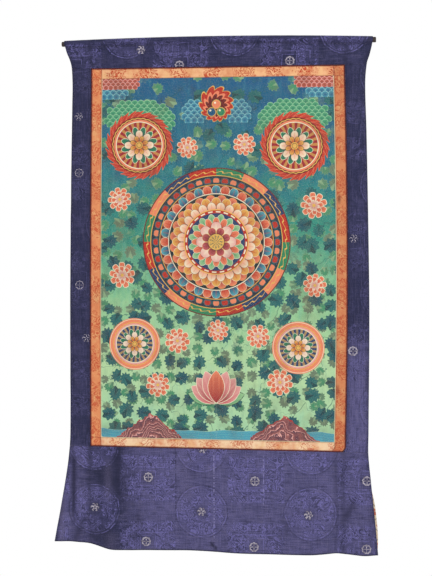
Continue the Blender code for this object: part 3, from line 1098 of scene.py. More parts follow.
def top_panel():
    """The sleeve's path carried along the bowed rod, then the silk that hangs below."""
    place = lines(TOP_WIDE, PANEL_PITCH)[None, :]
    hang = lines(TOP_SEAM - STITCH, PANEL_PITCH)[2:, None]

    def face(radius):
        path = sleeve_path(radius)
        gap = LAYER_GAP / 2 + (radius - SLEEVE_RADIUS)
        share = np.concatenate((np.zeros(len(path)), hang[:, 0]))[:, None]
        side = np.concatenate((path[:, 0], np.full(len(hang), -gap)))[:, None]
        drop = np.concatenate((path[:, 1], np.full(len(hang), -STITCH)))[:, None]
        nominal = mix(np.maximum(0.0, -drop), TOP_SEAM, share) + 0 * place
        x = mix(left_edge(nominal), right_edge(nominal), place)
        z = mix(rod_height(x) + drop, -TOP_SEAM - SEAM_SLOPE * x, share)
        freedom = smoothstep(nominal / STITCH - 1.0) * (drop < 0) * (side < 0)
        y = side - relief(x, nominal) * freedom
        gather = GATHER_HEIGHT * np.sin(math.tau * x / GATHER_LENGTH + 2 * np.sin(x * 19))
        y = y - gather * (side < 0) * (share < 1) * smoothstep((0.03 - nominal) / 0.02)
        return np.stack((x, y, z), -1), nominal

    front, nominal = face(SLEEVE_RADIUS + CLOTH)
    back, _ = face(SLEEVE_RADIUS)
    fields = edge_fields(front[..., 0], nominal)
    # Painted shadow in the crease just under the sleeve's stitches, uneven along the rod.
    stitch_shade = bell(nominal - STITCH - 0.0005, 0.0022) * (front[..., 1] < 0)
    uneven = 0.55 + 0.35 * np.sin(front[..., 0] * 40) * np.sin(front[..., 0] * 17 + 1)
    fields["shade_and_stain"] = np.maximum(fields["shade_and_stain"], stitch_shade * uneven)
    return closed_sheet("navy_top_panel", front, back, front[..., [0, 2]], fields)


mount_top = top_panel()
mount_top.data.materials.append(
    damask_material("navy_silk_top", (-80.0, -53.5), False, 0.70)
)
print("top panel:", len(mount_top.data.polygons), "faces")

# %% [markdown]
# ## Silver coins and stars
# The silk has small motifs in silver thread, between the navy figures. Up close each is
# a raised cord of flat thread, so they are small closed shapes laid on the cloth: a ring
# with four petals for a coin, and five petals for a star. Grids for all of them are
# built at once and then bent to the cloth.

# %% Silver motifs

THREAD_LIFT = 0.00012
TUCK_AT_SIDE, TUCK_AT_SEAM = 0.0012, 0.0004
TUCK_SQUEEZE = 0.03


def cloth_y(x, z):
    """Y of the mount's front face at x and z, on the strips and on the bottom panel."""
    depth = -z - SEAM_SLOPE * x
    seam = BOTTOM_SEAM + SEAM_SLOPE * x
    share = np.clip((-z - seam) / (hem_line(x) - seam), 0.0, 1.0)
    panel = mix(BOTTOM_SEAM, HEM_DEPTH, share)
    nominal = np.where(-z < seam, depth, panel)
    freedom = np.where(-z < 0.05, smoothstep(nominal / STITCH - 1.0), 1.0)
    return -(LAYER_GAP / 2 + CLOTH + relief(x, nominal) * freedom)


def ring_grid(middles, radius, half, height):
    """Closed rings: a flat round section carried round a circle, with thread ridges."""
    round_it = np.linspace(0, math.tau, 72, endpoint=False)[None, :, None]
    section = np.linspace(0, math.tau, 8, endpoint=False)[None, None, :]
    out = radius + 0.6 * np.sin(9 * round_it) + half * np.cos(section)
    ridge = 0.72 + 0.28 * np.sin(36 * round_it)
    up = height * np.sin(section) * ridge + 0 * out
    x = middles[:, 0, None, None] + out * np.cos(round_it)
    z = middles[:, 1, None, None] + out * np.sin(round_it)
    return np.broadcast_arrays(x, up, z)


def petal_grid(middles, turns, length, width, height, rings=10, sides=8):
    """Closed petals: sections along a line whose size is a half sine wave."""
    along = np.linspace(0, math.pi, rings)[None, :, None]
    section = np.linspace(0, math.tau, sides, endpoint=False)[None, None, :]
    run = -np.cos(along) * length / 2 + 0 * section
    side = np.sin(along) * np.cos(section) * width / 2
    up = np.sin(along) * np.sin(section) * height
    cos, sin = np.cos(turns)[:, None, None], np.sin(turns)[:, None, None]
    x = middles[:, 0, None, None] + run * cos - side * sin
    z = middles[:, 1, None, None] + run * sin + side * cos
    return np.broadcast_arrays(x, up, z)


def petals_round(centres, count, reach, turn=0.0):
    """Middles and directions of count petals round each centre."""
    angle = turn + np.arange(count) * math.tau / count
    offset = reach * np.stack((np.cos(angle), np.sin(angle)), -1)
    middles = (centres[:, None, :] + offset[None, :, :]).reshape(-1, 2)
    return middles, np.tile(angle, len(centres))


def tucked(x, z):
    """Squeezes what lies past a seam or an edge against it, as if it went under."""
    edge = right_edge(-z - SEAM_SLOPE * x) - TUCK_AT_SIDE
    x = np.where(x > edge, mix(edge, x, TUCK_SQUEEZE), x)
    inside = np.abs(x) < BORDER_HALF
    upper = -TOP_SEAM + TUCK_AT_SEAM - SEAM_SLOPE * x
    lower = -BOTTOM_SEAM - TUCK_AT_SEAM - SEAM_SLOPE * x
    near_top, near_foot = inside & (z > -0.3), inside & (z < -0.7)
    z = np.where(near_top & (z < upper), mix(upper, z, TUCK_SQUEEZE), z)
    z = np.where(near_foot & (z > lower), mix(lower, z, TUCK_SQUEEZE), z)
    return x, z


def laid_grids(grids, y_of=cloth_y):
    """Points and quads of all the grids, laid on the cloth whose y is y_of(x, z)."""
    points, faces, first = [], [], 0
    for (x, up, z), closed in grids:
        count, rings, sides = x.shape
        x, z = tucked(x * MM, z * MM)
        y = y_of(x, z) - THREAD_LIFT - up * MM
        points.append(np.stack((x, y, z), -1).reshape(-1, 3))
        start = first + np.arange(count)[:, None, None] * rings * sides
        ring = np.arange(rings if closed else rings - 1)[None, :, None]
        side = np.arange(sides)[None, None, :]
        following = (side + 1) % sides
        near, far = start + ring * sides, start + (ring + 1) % rings * sides
        quad = np.stack((near + side, near + following, far + following, far + side), -1)
        faces.append(quad.reshape(-1, 4))
        first += count * rings * sides
    return np.concatenate(points), np.concatenate(faces)


def silver_material():
    """Silver thread, dull where it has tarnished and worn through."""
    material, tree, shader = new_material("silver_thread", 0.42, metallic=0.25)
    place = front_place(tree)
    tarnish = (noise(place, 0.16, 3.0, 0.65) - 0.52).edge(0.12)
    base = over(tarnish * 0.8, colour(190, 182, 196), colour(112, 102, 120))
    base = over((noise(place, 1.4, 2.0) - 0.6).edge(0.1) * 0.6, base, NAVY_DARK)
    coat(shader, base, noise(place, 2.4, 2.0), 0.0002)
    return material


def silver_motifs(name, coins, stars, share, material):
    """Coins and stars at their places. A share under 1 makes them thinner, as worn ones."""
    coins, stars = np.array(coins), np.array(stars)
    cross = petals_round(coins, 4, 4.2)
    inner = petals_round(stars, 5, 4.6, 0.3)
    outer = petals_round(stars, 6, 8.2, 0.9)
    grids = (
        (ring_grid(coins, 8.7, 1.5 * share, 0.42 * share), True),
        (petal_grid(*cross, 5.2, 2.3 * share, 0.34 * share), False),
        (petal_grid(coins, np.zeros(len(coins)), 2.4, 2.4 * share, 0.4 * share), False),
        (petal_grid(*inner, 6.2, 3.9 * share, 0.4 * share), False),
        (petal_grid(outer[0], outer[1] + 1.3, 5.6, 2.2 * share, 0.3 * share), False),
    )
    piece = mesh_object(name, *laid_grids(grids))
    weld(piece)
    piece.data.materials.append(material)
    return piece


def weld(piece):
    """Merges points at one place and turns the faces outward."""
    shape = bmesh.new()
    shape.from_mesh(piece.data)
    bmesh.ops.remove_doubles(shape, verts=shape.verts[:], dist=0.00001)
    bmesh.ops.recalc_face_normals(shape, faces=shape.faces[:])
    shape.to_mesh(piece.data)
    shape.free()
    piece.data.shade_smooth()
    piece.data.set_sharp_from_angle(angle=math.radians(60))


silver_thread = silver_material()
silver = silver_motifs("silver_motifs", COINS, STARS, 1.0, silver_thread)
faint_silver = silver_motifs("worn_silver_motifs", FAINT_COINS, FAINT_STARS, 0.45, silver_thread)
print("silver motifs:", len(silver.data.polygons) + len(faint_silver.data.polygons), "faces")

# %% [markdown]
# ## Hand stitches
# A running stitch closes the sleeve under the rod, and smaller ones hold the hems along
# the foot and the two sides. They were sewn by hand, so no two are quite alike: each is
# a small closed petal of thread whose place and slant come from a seeded draw.

# %% Stitches

STITCH_SEED = 31
STITCH_LENGTH = 4.6
STITCH_WIDTH = 0.75
STITCH_RISE = 0.30
STITCH_INSET = 0.0042
SLEEVE_PITCH, FOOT_PITCH, SIDE_PITCH = 0.0088, 0.0079, 0.0093
PLACE_DRIFT, TURN_DRIFT = 0.25, 0.09
THREAD_TWIST = 0.6


def stitch_grid(x, z, turn, chance):
    """Stitches at the places x and z (metres), slanted a little from the turn."""
    middles = np.stack((x, z), -1) / MM + chance.normal(0, PLACE_DRIFT, (len(x), 2))
    turns = turn + chance.normal(0, TURN_DRIFT, len(x))
    return petal_grid(middles, turns, STITCH_LENGTH, STITCH_WIDTH, STITCH_RISE, 5, 6), False


def sleeve_front(x, z):
    """Y of the silk where the sleeve is closed, above the first folds."""
    return 0 * x - (LAYER_GAP / 2 + CLOTH)


def sleeve_stitches(chance):
    """A row just under the rod, on the line where the sleeve is closed."""
    x = np.arange(-0.326, 0.330, SLEEVE_PITCH)
    return laid_grids((stitch_grid(x, rod_height(x) - STITCH, 0.0, chance),), sleeve_front)


def hem_stitches(chance):
    """A row above the foot, and one inside each side edge."""
    x = np.arange(-0.350, 0.342, FOOT_PITCH)
    foot = -(hem_line(x) - STITCH_INSET)
    depth = np.arange(TOP_SEAM + 0.01, HEM_DEPTH - 0.012, SIDE_PITCH)
    left = left_edge(depth) + STITCH_INSET
    right = right_edge(depth) - STITCH_INSET
    return laid_grids((
        stitch_grid(x, foot, 0.0, chance),
        stitch_grid(left, -depth - SEAM_SLOPE * left, math.pi / 2, chance),
        stitch_grid(right, -depth - SEAM_SLOPE * right, math.pi / 2, chance),
    ))


def thread_material():
    """Waxed thread in a paler navy, dusty on top."""
    material, tree, shader = new_material("sewing_thread", 0.6)
    place = front_place(tree)
    x, z, _ = parts(place)
    dust = noise(place, 0.12, 3.0)
    base = over(dust, colour(58, 54, 92), colour(120, 114, 146))
    coat(shader, base, ((x + z) * (math.tau / THREAD_TWIST)).math("SINE"), 0.0001)
    return material


chance = np.random.default_rng(STITCH_SEED)
sewing_thread = thread_material()
stitches = []
for name, sewn in (("sleeve_stitches", sleeve_stitches), ("hem_stitches", hem_stitches)):
    row = mesh_object(name, *sewn(chance))
    weld(row)
    row.data.materials.append(sewing_thread)
    stitches.append(row)
    print(name, len(row.data.polygons), "faces")

# %% [markdown]
# ## The orange border
# Four strips of another silk, peach with cloud scrolls in a redder orange. The level
# strips are cut along the figure and look pale. The upright ones are cut across it and
# catch the light less, so their ground is painted a fuller orange, as painted shade on
# the same silk.

# %% Orange strips

PEACH = colour(252, 192, 140)
PALE_PEACH = colour(255, 218, 176)
ORANGE = colour(222, 126, 80)
SCROLL = colour(200, 76, 38)
PALE_GOLD = colour(250, 200, 136)
SEAM_RED = colour(138, 44, 36)
BROWN = colour(110, 56, 38)


def orange_material(name, ground, motif_every, motif_half, figure_share, upright):
    """Scroll motifs at intervals along the strip, on a softly varied ground."""
    material, tree, shader = new_material(name, 0.5, sheen=0.08)
    place, u, v = cloth_place(tree)
    along = v if upright else u
    wander = noise(place, 0.02, 1.0) * 24.0
    cell = abs((along + wander).wrapped(motif_every))
    motif = (cell.below(motif_half) + noise(place, 0.09, 2.0) * 26.0 - 13.0).edge(4.0)
    curl = (noise(place, 0.05, 1.0, 0.5, 2.0) * 26.0).math("SINE")
    curl = (curl - 0.1).edge(0.5) * (noise(place, 0.3, 2.0, 0.6) - 0.36).edge(0.12)
    gold = (noise(place, 0.05, 3.0, 0.6) - 0.5).share(4.0)
    weave, age = woven(place, 0.8, 30.0)
    base = over((age["Blotch"] - 0.42).share(2.6), ground, ORANGE)
    base = over(gold * 0.6, base, PALE_GOLD)
    base = over(motif * curl * figure_share, base, SCROLL)
    base = over((age["Grain"] - 0.56).share(3.0) * 0.35, base, SCROLL)
    base = over(age["Grain"].below(0.42).share(3.0) * 0.4, base, PEACH)
    base = over(attribute(tree, "rim") * (age["Blotch"] * 1.2 + 0.2), base, SEAM_RED)
    # Brown stains, and painted shade down the right strip.
    base = over(attribute(tree, "stain_and_shade"), base, BROWN)
    coat(shader, base, weave["Height"] * 0.4 + motif * curl * 0.5 + weave["Slub"] * 0.3, 0.0002)
    return material


# Brown stains of the border: x, depth, half width, half height, lean, amount
BORDER_STAINS = (
    (0.2685, 0.352, 0.0045, 0.013, 0.0, 0.80),
    (0.268, 0.372, 0.0025, 0.004, 0.0, 0.50),
    (0.2655, 0.766, 0.0040, 0.016, 0.0, 0.65),
    (0.265, 0.480, 0.0060, 0.030, 0.0, 0.20),
    (-0.268, 0.560, 0.0050, 0.030, 0.0, 0.15),
    (-0.240, 0.075, 0.0120, 0.006, 0.0, 0.25),
    (0.262, 0.075, 0.0100, 0.008, 0.0, 0.30),
)


def border_fields(x, depth):
    """Rim is dark red at the outer edge; the second field is 1 on the brown stains and also holds
    painted shade down the right strip.
    """
    edge = border_half(x, depth) - np.abs(x)
    outer = np.minimum(edge, np.minimum(depth - BORDER_TOP, BORDER_BOTTOM - depth))
    level = np.minimum(np.abs(depth - CANVAS_TOP), np.abs(depth - CANVAS_BOTTOM))
    inner = np.minimum(np.abs(edge - SIDE_STRIP), level)
    rim = np.maximum(0.9 * bell(outer, 0.0013), 0.65 * bell(inner, 0.0010))
    # Painted shade: the right strip is a little darker all along.
    shaded_right = 0.20 * smoothstep((x - 0.25) / 0.01)
    return {"rim": rim, "stain_and_shade": np.maximum(spots(BORDER_STAINS, x, depth, 2), shaded_right)}


INNER = -SIDE_STRIP - GAP
BORDER_PITCH = 0.0016
border_top = level_sheet(
    "orange_strip_top", BORDER_TOP, CANVAS_TOP - GAP,
    side_line(-1, INNER), side_line(1, INNER), BORDER_PITCH, border_fields,
)
border_bottom = level_sheet(
    "orange_strip_bottom", CANVAS_BOTTOM + GAP, BORDER_BOTTOM,
    side_line(-1, INNER), side_line(1, INNER), BORDER_PITCH, border_fields,
)
border_left = level_sheet(
    "orange_strip_left", BORDER_TOP, BORDER_BOTTOM,
    side_line(-1, 0.0), side_line(-1, -SIDE_STRIP), BORDER_PITCH, border_fields,
)
border_right = level_sheet(
    "orange_strip_right", BORDER_TOP, BORDER_BOTTOM,
    side_line(1, -SIDE_STRIP), side_line(1, 0.0), BORDER_PITCH, border_fields,
)
pale_silk = orange_material("orange_silk_level", PEACH, 70.0, 22.0, 1.0, False)
# Painted shade: the same silk with a fuller orange ground, for the strips cut across the figure.
full_silk = orange_material("orange_silk_upright", colour(238, 152, 98), 78.0, 30.0, 0.8, True)
foot_silk = orange_material("orange_silk_foot", PALE_PEACH, 70.0, 20.0, 0.7, False)
border_top.data.materials.append(pale_silk)
border_bottom.data.materials.append(foot_silk)
border_left.data.materials.append(full_silk)
border_right.data.materials.append(full_silk)
border = (border_top, border_bottom, border_left, border_right)
print("border:", sum(len(strip.data.polygons) for strip in border), "faces")

# %% [markdown]
# ## The welt
# A dark red strip folded over a thin cord, caught in the seam between the orange and the
# navy. Its section is a rounded bar carried along the seam. The diagonal turns of the
# cord are in the shape, as a small wave that runs round the section as it goes along.

# %% Welts

WELT_SIDES = 10
WELT_SQUARENESS = 0.7
WELT_PROUD = 0.0003
CORD_TURN = 0.0032
CORD_SWELL = 0.00007


def bar_points(centre_x, depth, half, level):
    """A rounded section round a line: across it in x or in depth, and forward in y.

    The section is a superellipse with its front swelled, and a wave of the cord's turns.
    """
    angle = np.linspace(0, math.tau, WELT_SIDES, endpoint=False)[None, :]
    wide, deep = (np.sign(a) * np.abs(a) ** WELT_SQUARENESS for a in (np.cos(angle), np.sin(angle)))
    along = (centre_x if level else depth)[:, None]
    swell = CORD_SWELL * np.sin(math.tau * along / CORD_TURN + angle)
    x0, depth0 = centre_x[:, None] + 0 * angle, depth[:, None] + 0 * angle
    x = x0 if level else x0 + wide * half
    low = depth0 - wide * half if level else depth0
    y = front_y(x0, depth0) + CLOTH / 2 - deep * (CLOTH / 2 + WELT_PROUD) - swell * (deep > 0)
    return np.stack((x, y, -low - SEAM_SLOPE * x), -1)


def closed_bar(name, points, material):
    """A tube from rings of points, with a fan at each end made of quads that fold in."""
    steps, sides = points.shape[:2]
    ends = [points[:1].mean(1, keepdims=True), points[-1:].mean(1, keepdims=True)]
    full = np.concatenate((np.repeat(ends[0], sides, 1), points, np.repeat(ends[1], sides, 1)))
    ring = np.arange(sides)
    corner = np.arange(steps + 1)[:, None] * sides
    faces = np.stack(
        (corner + ring, corner + (ring + 1) % sides,
         corner + sides + (ring + 1) % sides, corner + sides + ring), -1
    ).reshape(-1, 4)
    bar = mesh_object(name, full.reshape(-1, 3), faces)
    weld(bar)
    bar.data.materials.append(material)
    return bar


def welt_material():
    """Dark red, a little lighter in random patches where it has rubbed."""
    material, tree, shader = new_material("red_welt", 0.7, sheen=0.1)
    place = front_place(tree)
    worn = (noise(place, 0.25, 3.0) - 0.45).edge(0.3)
    base = over(worn * 0.6, colour(70, 18, 26), colour(118, 34, 36))
    coat(shader, base, noise(place, 3.0, 2.0), 0.0002)
    return material


WELT_STEP = 0.0008
WELT_AWAY = GAP + WELT / 2
red_welt = welt_material()
welts = {}
for side, word in ((-1, "left"), (1, "right")):
    depth = np.arange(BORDER_TOP, BORDER_BOTTOM + WELT_STEP / 2, WELT_STEP)
    centre = border_edge(side, depth) + side * WELT_AWAY
    ring = bar_points(centre, depth, WELT / 2, False)
    welts[word] = closed_bar(f"red_welt_{word}", ring, red_welt)
for word, middle in (("top", BORDER_TOP - WELT_AWAY), ("bottom", BORDER_BOTTOM + WELT_AWAY)):
    ends = [border_edge(side, np.array(middle)) + side * (GAP + WELT) for side in (-1, 1)]
    centre = np.arange(ends[0], ends[1], WELT_STEP)
    ring = bar_points(centre, np.full_like(centre, middle), WELT / 2, True)
    welts[word] = closed_bar(f"red_welt_{word}", ring, red_welt)
print("welts:", sum(len(w.data.polygons) for w in welts.values()), "faces")

# %% [markdown]
# ## The painted cloth
# Sized cotton, painted with ground minerals in glue. The ornament is a traditional kind
# made up for this lesson: a lotus rosette, four haloed flowers, clouds, jewels, leaves,
# mounds and water. The mesh only carries where the large flowers stand, as coordinates
# that start at each flower. The shader draws the flowers in those coordinates, so their
# edges stay sharp at any size.

# %% Where the flowers stand, in millimetres: x, height, radius, turn

HALO_DRAWN, PEONY_DRAWN = 52.0, 25.0  # radius at which the shader draws each kind
FLOWER_MARGIN = 14.0  # how far past its radius a flower's coordinates are used
ROSETTE = (0.0, -446.0, 150.0)
ROSETTE_SCALE = 1.09
HALOES = (
    (-172.0, -232.0, 70.0, 1.0),
    (172.0, -236.0, 70.0, 1.0),
    (-182.0, -672.0, 56.0, 2.0),
    (180.0, -676.0, 56.0, 2.0),
)
PEONIES = (
    (-216.0, -352.0, 25.0, 0.3),
    (214.0, -366.0, 27.0, 1.1),
    (-64.0, -238.0, 22.0, 2.1),
    (62.0, -232.0, 23.0, 0.7),
    (-210.0, -520.0, 27.0, 1.9),
    (216.0, -540.0, 24.0, 2.7),
    (-86.0, -664.0, 26.0, 0.1),
    (92.0, -652.0, 24.0, 1.5),
    (-130.0, -762.0, 25.0, 0.9),
    (140.0, -752.0, 27.0, 2.3),
    (4.0, -640.0, 22.0, 1.2),
)


def local_places(x, z, flowers, drawn):
    """For each point the nearest flower's own coordinates, and its last number.

    A flower is drawn with the radius drawn, so its coordinates are scaled to its own.
    """
    table = np.array(flowers)
    away_x = x[..., None] / MM - table[:, 0]
    away_z = z[..., None] / MM - table[:, 1]
    nearest = np.argmin(np.hypot(away_x, away_z) - table[:, 2], -1)[..., None]
    picked = [np.take_along_axis(a, nearest, -1)[..., 0] for a in (away_x, away_z)]
    chosen = table[nearest[..., 0]]
    share = drawn / chosen[..., 2]
    vector = np.stack((picked[0] * share, picked[1] * share, chosen[..., 3]), -1)
    reach = np.hypot(*picked) - chosen[..., 2]
    return vector, np.where(reach < FLOWER_MARGIN, 1.0, 0.0)


# The bare margin is tucked under the top strip, so no pale line shows there
TUCKED = 0.0015


def canvas_fields(x, depth):
    """Edge is the distance to the nearest edge in mm, and the rest are flower places."""
    left = border_edge(-1, depth) - INNER
    right = border_edge(1, depth) + INNER
    from_ends = np.minimum(depth - CANVAS_TOP + TUCKED, CANVAS_BOTTOM - depth)
    edge = np.minimum(np.minimum(x - left, right - x), from_ends)
    halo, halo_on = local_places(x, -depth, HALOES, HALO_DRAWN)
    peony, peony_on = local_places(x, -depth, PEONIES, PEONY_DRAWN)
    return {
        "edge": edge / MM, "halo": halo, "halo_on": halo_on,
        "peony": peony, "peony_on": peony_on,
    }


CANVAS_DROP = 0.0002
canvas = level_sheet(
    "painted_cloth", CANVAS_TOP, CANVAS_BOTTOM,
    side_line(-1, INNER), side_line(1, INNER), PANEL_PITCH, canvas_fields, CANVAS_DROP,
)
print("painted cloth:", len(canvas.data.polygons), "faces")

# %% A ring of petals as a node group


def petals_group():
    """Petals side by side in a ring, all in mm.

    Across is 0 on a petal's middle line and 1 between two petals. Along is 0 at the inner
    radius and 1 at the outer one. A petal is as wide as a sine arc of Along, and Inside
    is how far a place lies inside the nearest petal's outline.
    """
    inputs = [("Radius", NUMBER), ("Angle", NUMBER), ("Count", NUMBER), ("Inner", NUMBER)]
    inputs += [("Outer", NUMBER), ("Turn", NUMBER), ("Blunt", NUMBER)]
    outputs = [("Inside", NUMBER), ("Along", NUMBER), ("Across", NUMBER), ("Number", NUMBER)]
    group, given, end = new_group("petals", inputs, outputs)
    radius, count = given["Radius"], given["Count"]
    position = given["Angle"] / math.tau * count + given["Turn"] + 0.5
    number = position.math("FLOOR")
    across = abs(position - number - 0.5) * 2.0
    span = given["Outer"] - given["Inner"]
    along = ((radius - given["Inner"]) / span).share()
    arch = (along * 0.86 + 0.14) * math.pi
    width = arch.math("SINE").most(0.0).math("POWER", given["Blunt"])
    half_arc = radius * math.pi / count
    inside = (width - across) * half_arc
    inside = inside.least(radius - given["Inner"]).least(given["Outer"] - radius)
    ends = {"Inside": inside, "Along": along, "Across": across, "Number": number}
    for name, value in ends.items():
        feed(group, end.inputs[name], value)
    return group


PETALS = petals_group()


def petal_ring(base, where, count, reach, colours, turn=0.0, blunt=0.55, outline=0.9):
    """Paints a ring of petals over the base: body, tip and outline colours."""
    radius, angle = where
    ring = placed_group(
        radius.tree, PETALS, Radius=radius, Angle=angle, Count=float(count),
        Inner=float(reach[0]), Outer=float(reach[1]), Turn=turn, Blunt=blunt,
    )
    body = over(ring["Along"], colours[0], colours[1])
    if len(colours) > 3:
        other = over(ring["Along"], colours[3], colours[4])
        odd = (ring["Number"] * 0.5).math("FRACT") * 2.0
        body = over(odd, body, other)
    vein = ring["Across"].below(0.12).edge(0.08) * ring["Along"].below(0.8).edge(0.1)
    body = over(vein * 0.35, body, colours[0])
    body = over(ring["Inside"].below(outline).edge(), body, colours[2])
    return over(ring["Inside"].edge(), base, body)


print("petal group has", len(PETALS.nodes), "nodes")

# %% The painter's colours

DEEP_BLUE = colour(24, 84, 124)
SKY_TEAL = colour(32, 112, 132)
LEAF_GREEN = colour(46, 134, 92)
PALE_GREEN = colour(158, 204, 148)
CREAM = colour(250, 238, 206)
GOLD = colour(238, 186, 92)
RED = colour(192, 46, 34)
FLAME = colour(212, 66, 42)
CRIMSON = colour(160, 34, 48)
MAROON = colour(112, 30, 32)
CORAL = colour(242, 138, 100)
PINK = colour(238, 172, 164)
ROSE = colour(202, 92, 98)
INK = colour(28, 40, 50)
INDIGO = colour(34, 62, 104)
LEAF_DARK = colour(26, 84, 90)
LEAF_GREY = colour(104, 136, 112)
SLATE = colour(70, 96, 104)
WATER = colour(84, 172, 184)

# %% Ground, leaves, rocks and water

# Places on the painted cloth in millimetres: x from its middle and height, 0 at the rod
GROUND_TOP, GROUND_HEIGHT = -84.0, 797.0
ROCK_X, ROCK_PEAK, ROCK_SLOPE = 148.0, -836.0, 0.72
WATER_LINE = -860.5
LOTUS_FOOT = -800.0
JEWELS_HEIGHT = -152.0


def ground_layer(tree, place, v):
    """Blue at the top, green in the middle and pale at the foot, in loose brush marks."""
    share = (v - GROUND_TOP) / -GROUND_HEIGHT
    brush = (noise(place, 0.03, 3.0, 0.6) - 0.5) * 0.2
    ramp = new_node(tree, "ShaderNodeValToRGB", {"Fac": share + brush})
    stops = (
        (0.0, colour(20, 92, 136)), (0.22, SKY_TEAL), (0.42, colour(50, 146, 126)),
        (0.6, colour(140, 200, 148)), (0.8, colour(188, 224, 168)), (1.0, colour(170, 218, 172)),
    )
    elements = ramp.color_ramp.elements
    for place_on_ramp, _ in stops[1:-1]:
        elements.new(place_on_ramp)
    for element, (_, tone) in zip(elements, stops):
        element.color = tone
    base = Wire(tree, ramp.outputs["Color"])
    u, _, _ = parts(place)
    streak = (noise(joined(u * 0.09, v * 0.02), 1.0, 2.0) - 0.5) * 0.7
    base = over(streak.share(), base, colour(86, 172, 178))
    return over((-streak).share(0.8), base, colour(16, 80, 110))


def leaf_layer(tree, base, place, pitch, size, shift, tones, more):
    """A pointed leaf near the middle of each square, turned at random.

    The outline is a cosine of the angle, with a wave nine times as quick for the teeth.
    More leaves are shown where the wire more is high.
    """
    moved = new_node(tree, "ShaderNodeVectorMath", {0: place, 1: shift}, operation="ADD")
    scatter = cells(Wire(tree, moved.outputs[0]), randomness=0.7, scale=1.0 / pitch)
    offset = new_node(
        tree, "ShaderNodeVectorMath",
        {0: Wire(tree, moved.outputs[0]), 1: Wire(tree, scatter.outputs["Position"])},
        operation="SUBTRACT",
    )
    x, y, _ = parts(Wire(tree, offset.outputs[0]))
    radius, angle = polar(x, y)
    chance = new_node(tree, "ShaderNodeSeparateColor", {"Color": Wire(tree, scatter.outputs["Color"])})
    red, green, blue = (Wire(tree, output) for output in chance.outputs)
    turned = angle + red * math.tau
    lobe = turned.math("COSINE") * 0.5 + 0.5
    tooth = (turned * 9.0).math("SINE") * 0.11
    outline = (lobe.math("POWER", 2.0) * 0.5 + 0.56 + tooth) * (green * 0.4 + 0.8) * size
    inside = outline - radius
    tone = over((blue - 0.45).edge(0.1), tones[0], tones[1])
    tone = over((radius / size).share(0.7), tone, tones[2])
    tone = over((lobe - 0.975).edge(0.02) * 0.7, tone, tones[3])
    tone = over(inside.below(0.8).edge() * 0.6, tone, tones[3])
    shown = (more + green * 0.5 + blue * 0.5 - 1.0).edge(0.05)
    return over(inside.edge(0.5) * shown, base, tone)


STEM_CELL = 64.0


def stem_layer(base, place):
    """Thin stems along the borders between large random cells."""
    sway = noise(place, 0.03, 2.0) * 1.2
    x, y, _ = parts(times(place, 1.0 / STEM_CELL))
    far = cells(joined(x + sway, y + sway), feature="DISTANCE_TO_EDGE")
    distance = Wire(place.tree, far.outputs["Distance"]) * STEM_CELL
    return over(distance.below(0.7).edge(0.5) * 0.7, base, LEAF_DARK)


def rock_layer(base, u, v, place):
    """Two brown mounds at the foot, in wavering bands that follow their slopes."""
    shaken = noise(place, 0.05, 3.0, 0.6)
    peak = abs(abs(u) - ROCK_X)
    inside = peak * -ROCK_SLOPE - v + shaken * 22.0 + ROCK_PEAK
    band = (inside / 9.0 + noise(place, 0.02, 1.0) * 7.0).math("FRACT")
    tone = over(band, colour(92, 56, 74), colour(170, 98, 92))
    tone = over((band - 0.84).edge(0.06), tone, PINK)
    tone = over(inside.below(1.6).edge(), tone, RED)
    return over(inside.edge(), base, tone)


def water_layer(base, u, v):
    """A band of low waves along the foot."""
    swell = (u / 11.0).math("SINE") * 1.2 + (u / 27.0).math("SINE") * 1.6
    level = swell - v + WATER_LINE
    line = ((level / 5.5) * math.tau).math("SINE").edge(1.4)
    tone = over(line * 0.6, WATER, colour(64, 146, 184))
    tone = over(level.below(1.0).edge(), tone, colour(150, 206, 196))
    return over(level.edge(), base, tone)


def cloud_layer(base, u, v, floor_of, lobe, tones):
    """A bank of scalloped clouds: rows of overlapping half rounds, each with inner rings.

    A scallop shows whole where its own middle lies in the bank, which is where floor_of
    the middle is positive. Each row is drawn over the one above it.
    """
    rise = lobe * 0.55
    for row_shift in (1.0, 0.0):
        row = (v / rise).math("FLOOR") + row_shift
        stagger = (row * 0.5).math("FRACT") * lobe
        away_u = (u + stagger).wrapped(lobe)
        away_v = v - row * rise + rise * 0.15
        radius, _ = polar(away_u, away_v)
        inside = radius.below(lobe * 0.56).least(away_v + rise * 0.75)
        shown = floor_of(u - away_u, row * rise).edge(0.1)
        tone = over(radius / (lobe * 0.56), tones[0], tones[1])
        ring = (radius * (math.tau / (lobe * 0.19))).math("SINE").edge(0.8)
        tone = over(ring * 0.5, tone, tones[2])
        tone = over(radius.below(lobe * 0.56).below(1.1).edge(), tone, tones[3])
        base = over(inside.edge() * shown, base, tone)
    return base


print("ground layers ready")

# %% Flowers, haloes, jewels and the rosette


def painted_rings(base, where, steps):
    """Paints rows one over the other: a size and a tone make a disc, more values petals."""
    for step in steps:
        base = disc(base, where[0], *step) if len(step) == 2 else petal_ring(base, where, *step)
    return base


PEONY_RINGS = (
    (9, (4, 27), (RED, CORAL, CREAM), 0.0, 0.3, 1.3),
    (8, (3, 19), (RED, CORAL, CREAM), 0.5, 0.3, 1.1),
    (6, (1, 12), (ROSE, CREAM, PINK), 0.2, 0.35, 0.8),
    (3.4, GOLD),
)


def peony_layer(tree, base):
    """Three rings of coral petals with pale edges round a gold heart."""
    x, y, turn = parts(attribute(tree, "peony", "Vector"))
    radius, angle = polar(x, y)
    flower = painted_rings(base, (radius, angle + turn), PEONY_RINGS)
    return over(attribute(tree, "peony_on").math("GREATER_THAN", 0.5), base, flower)


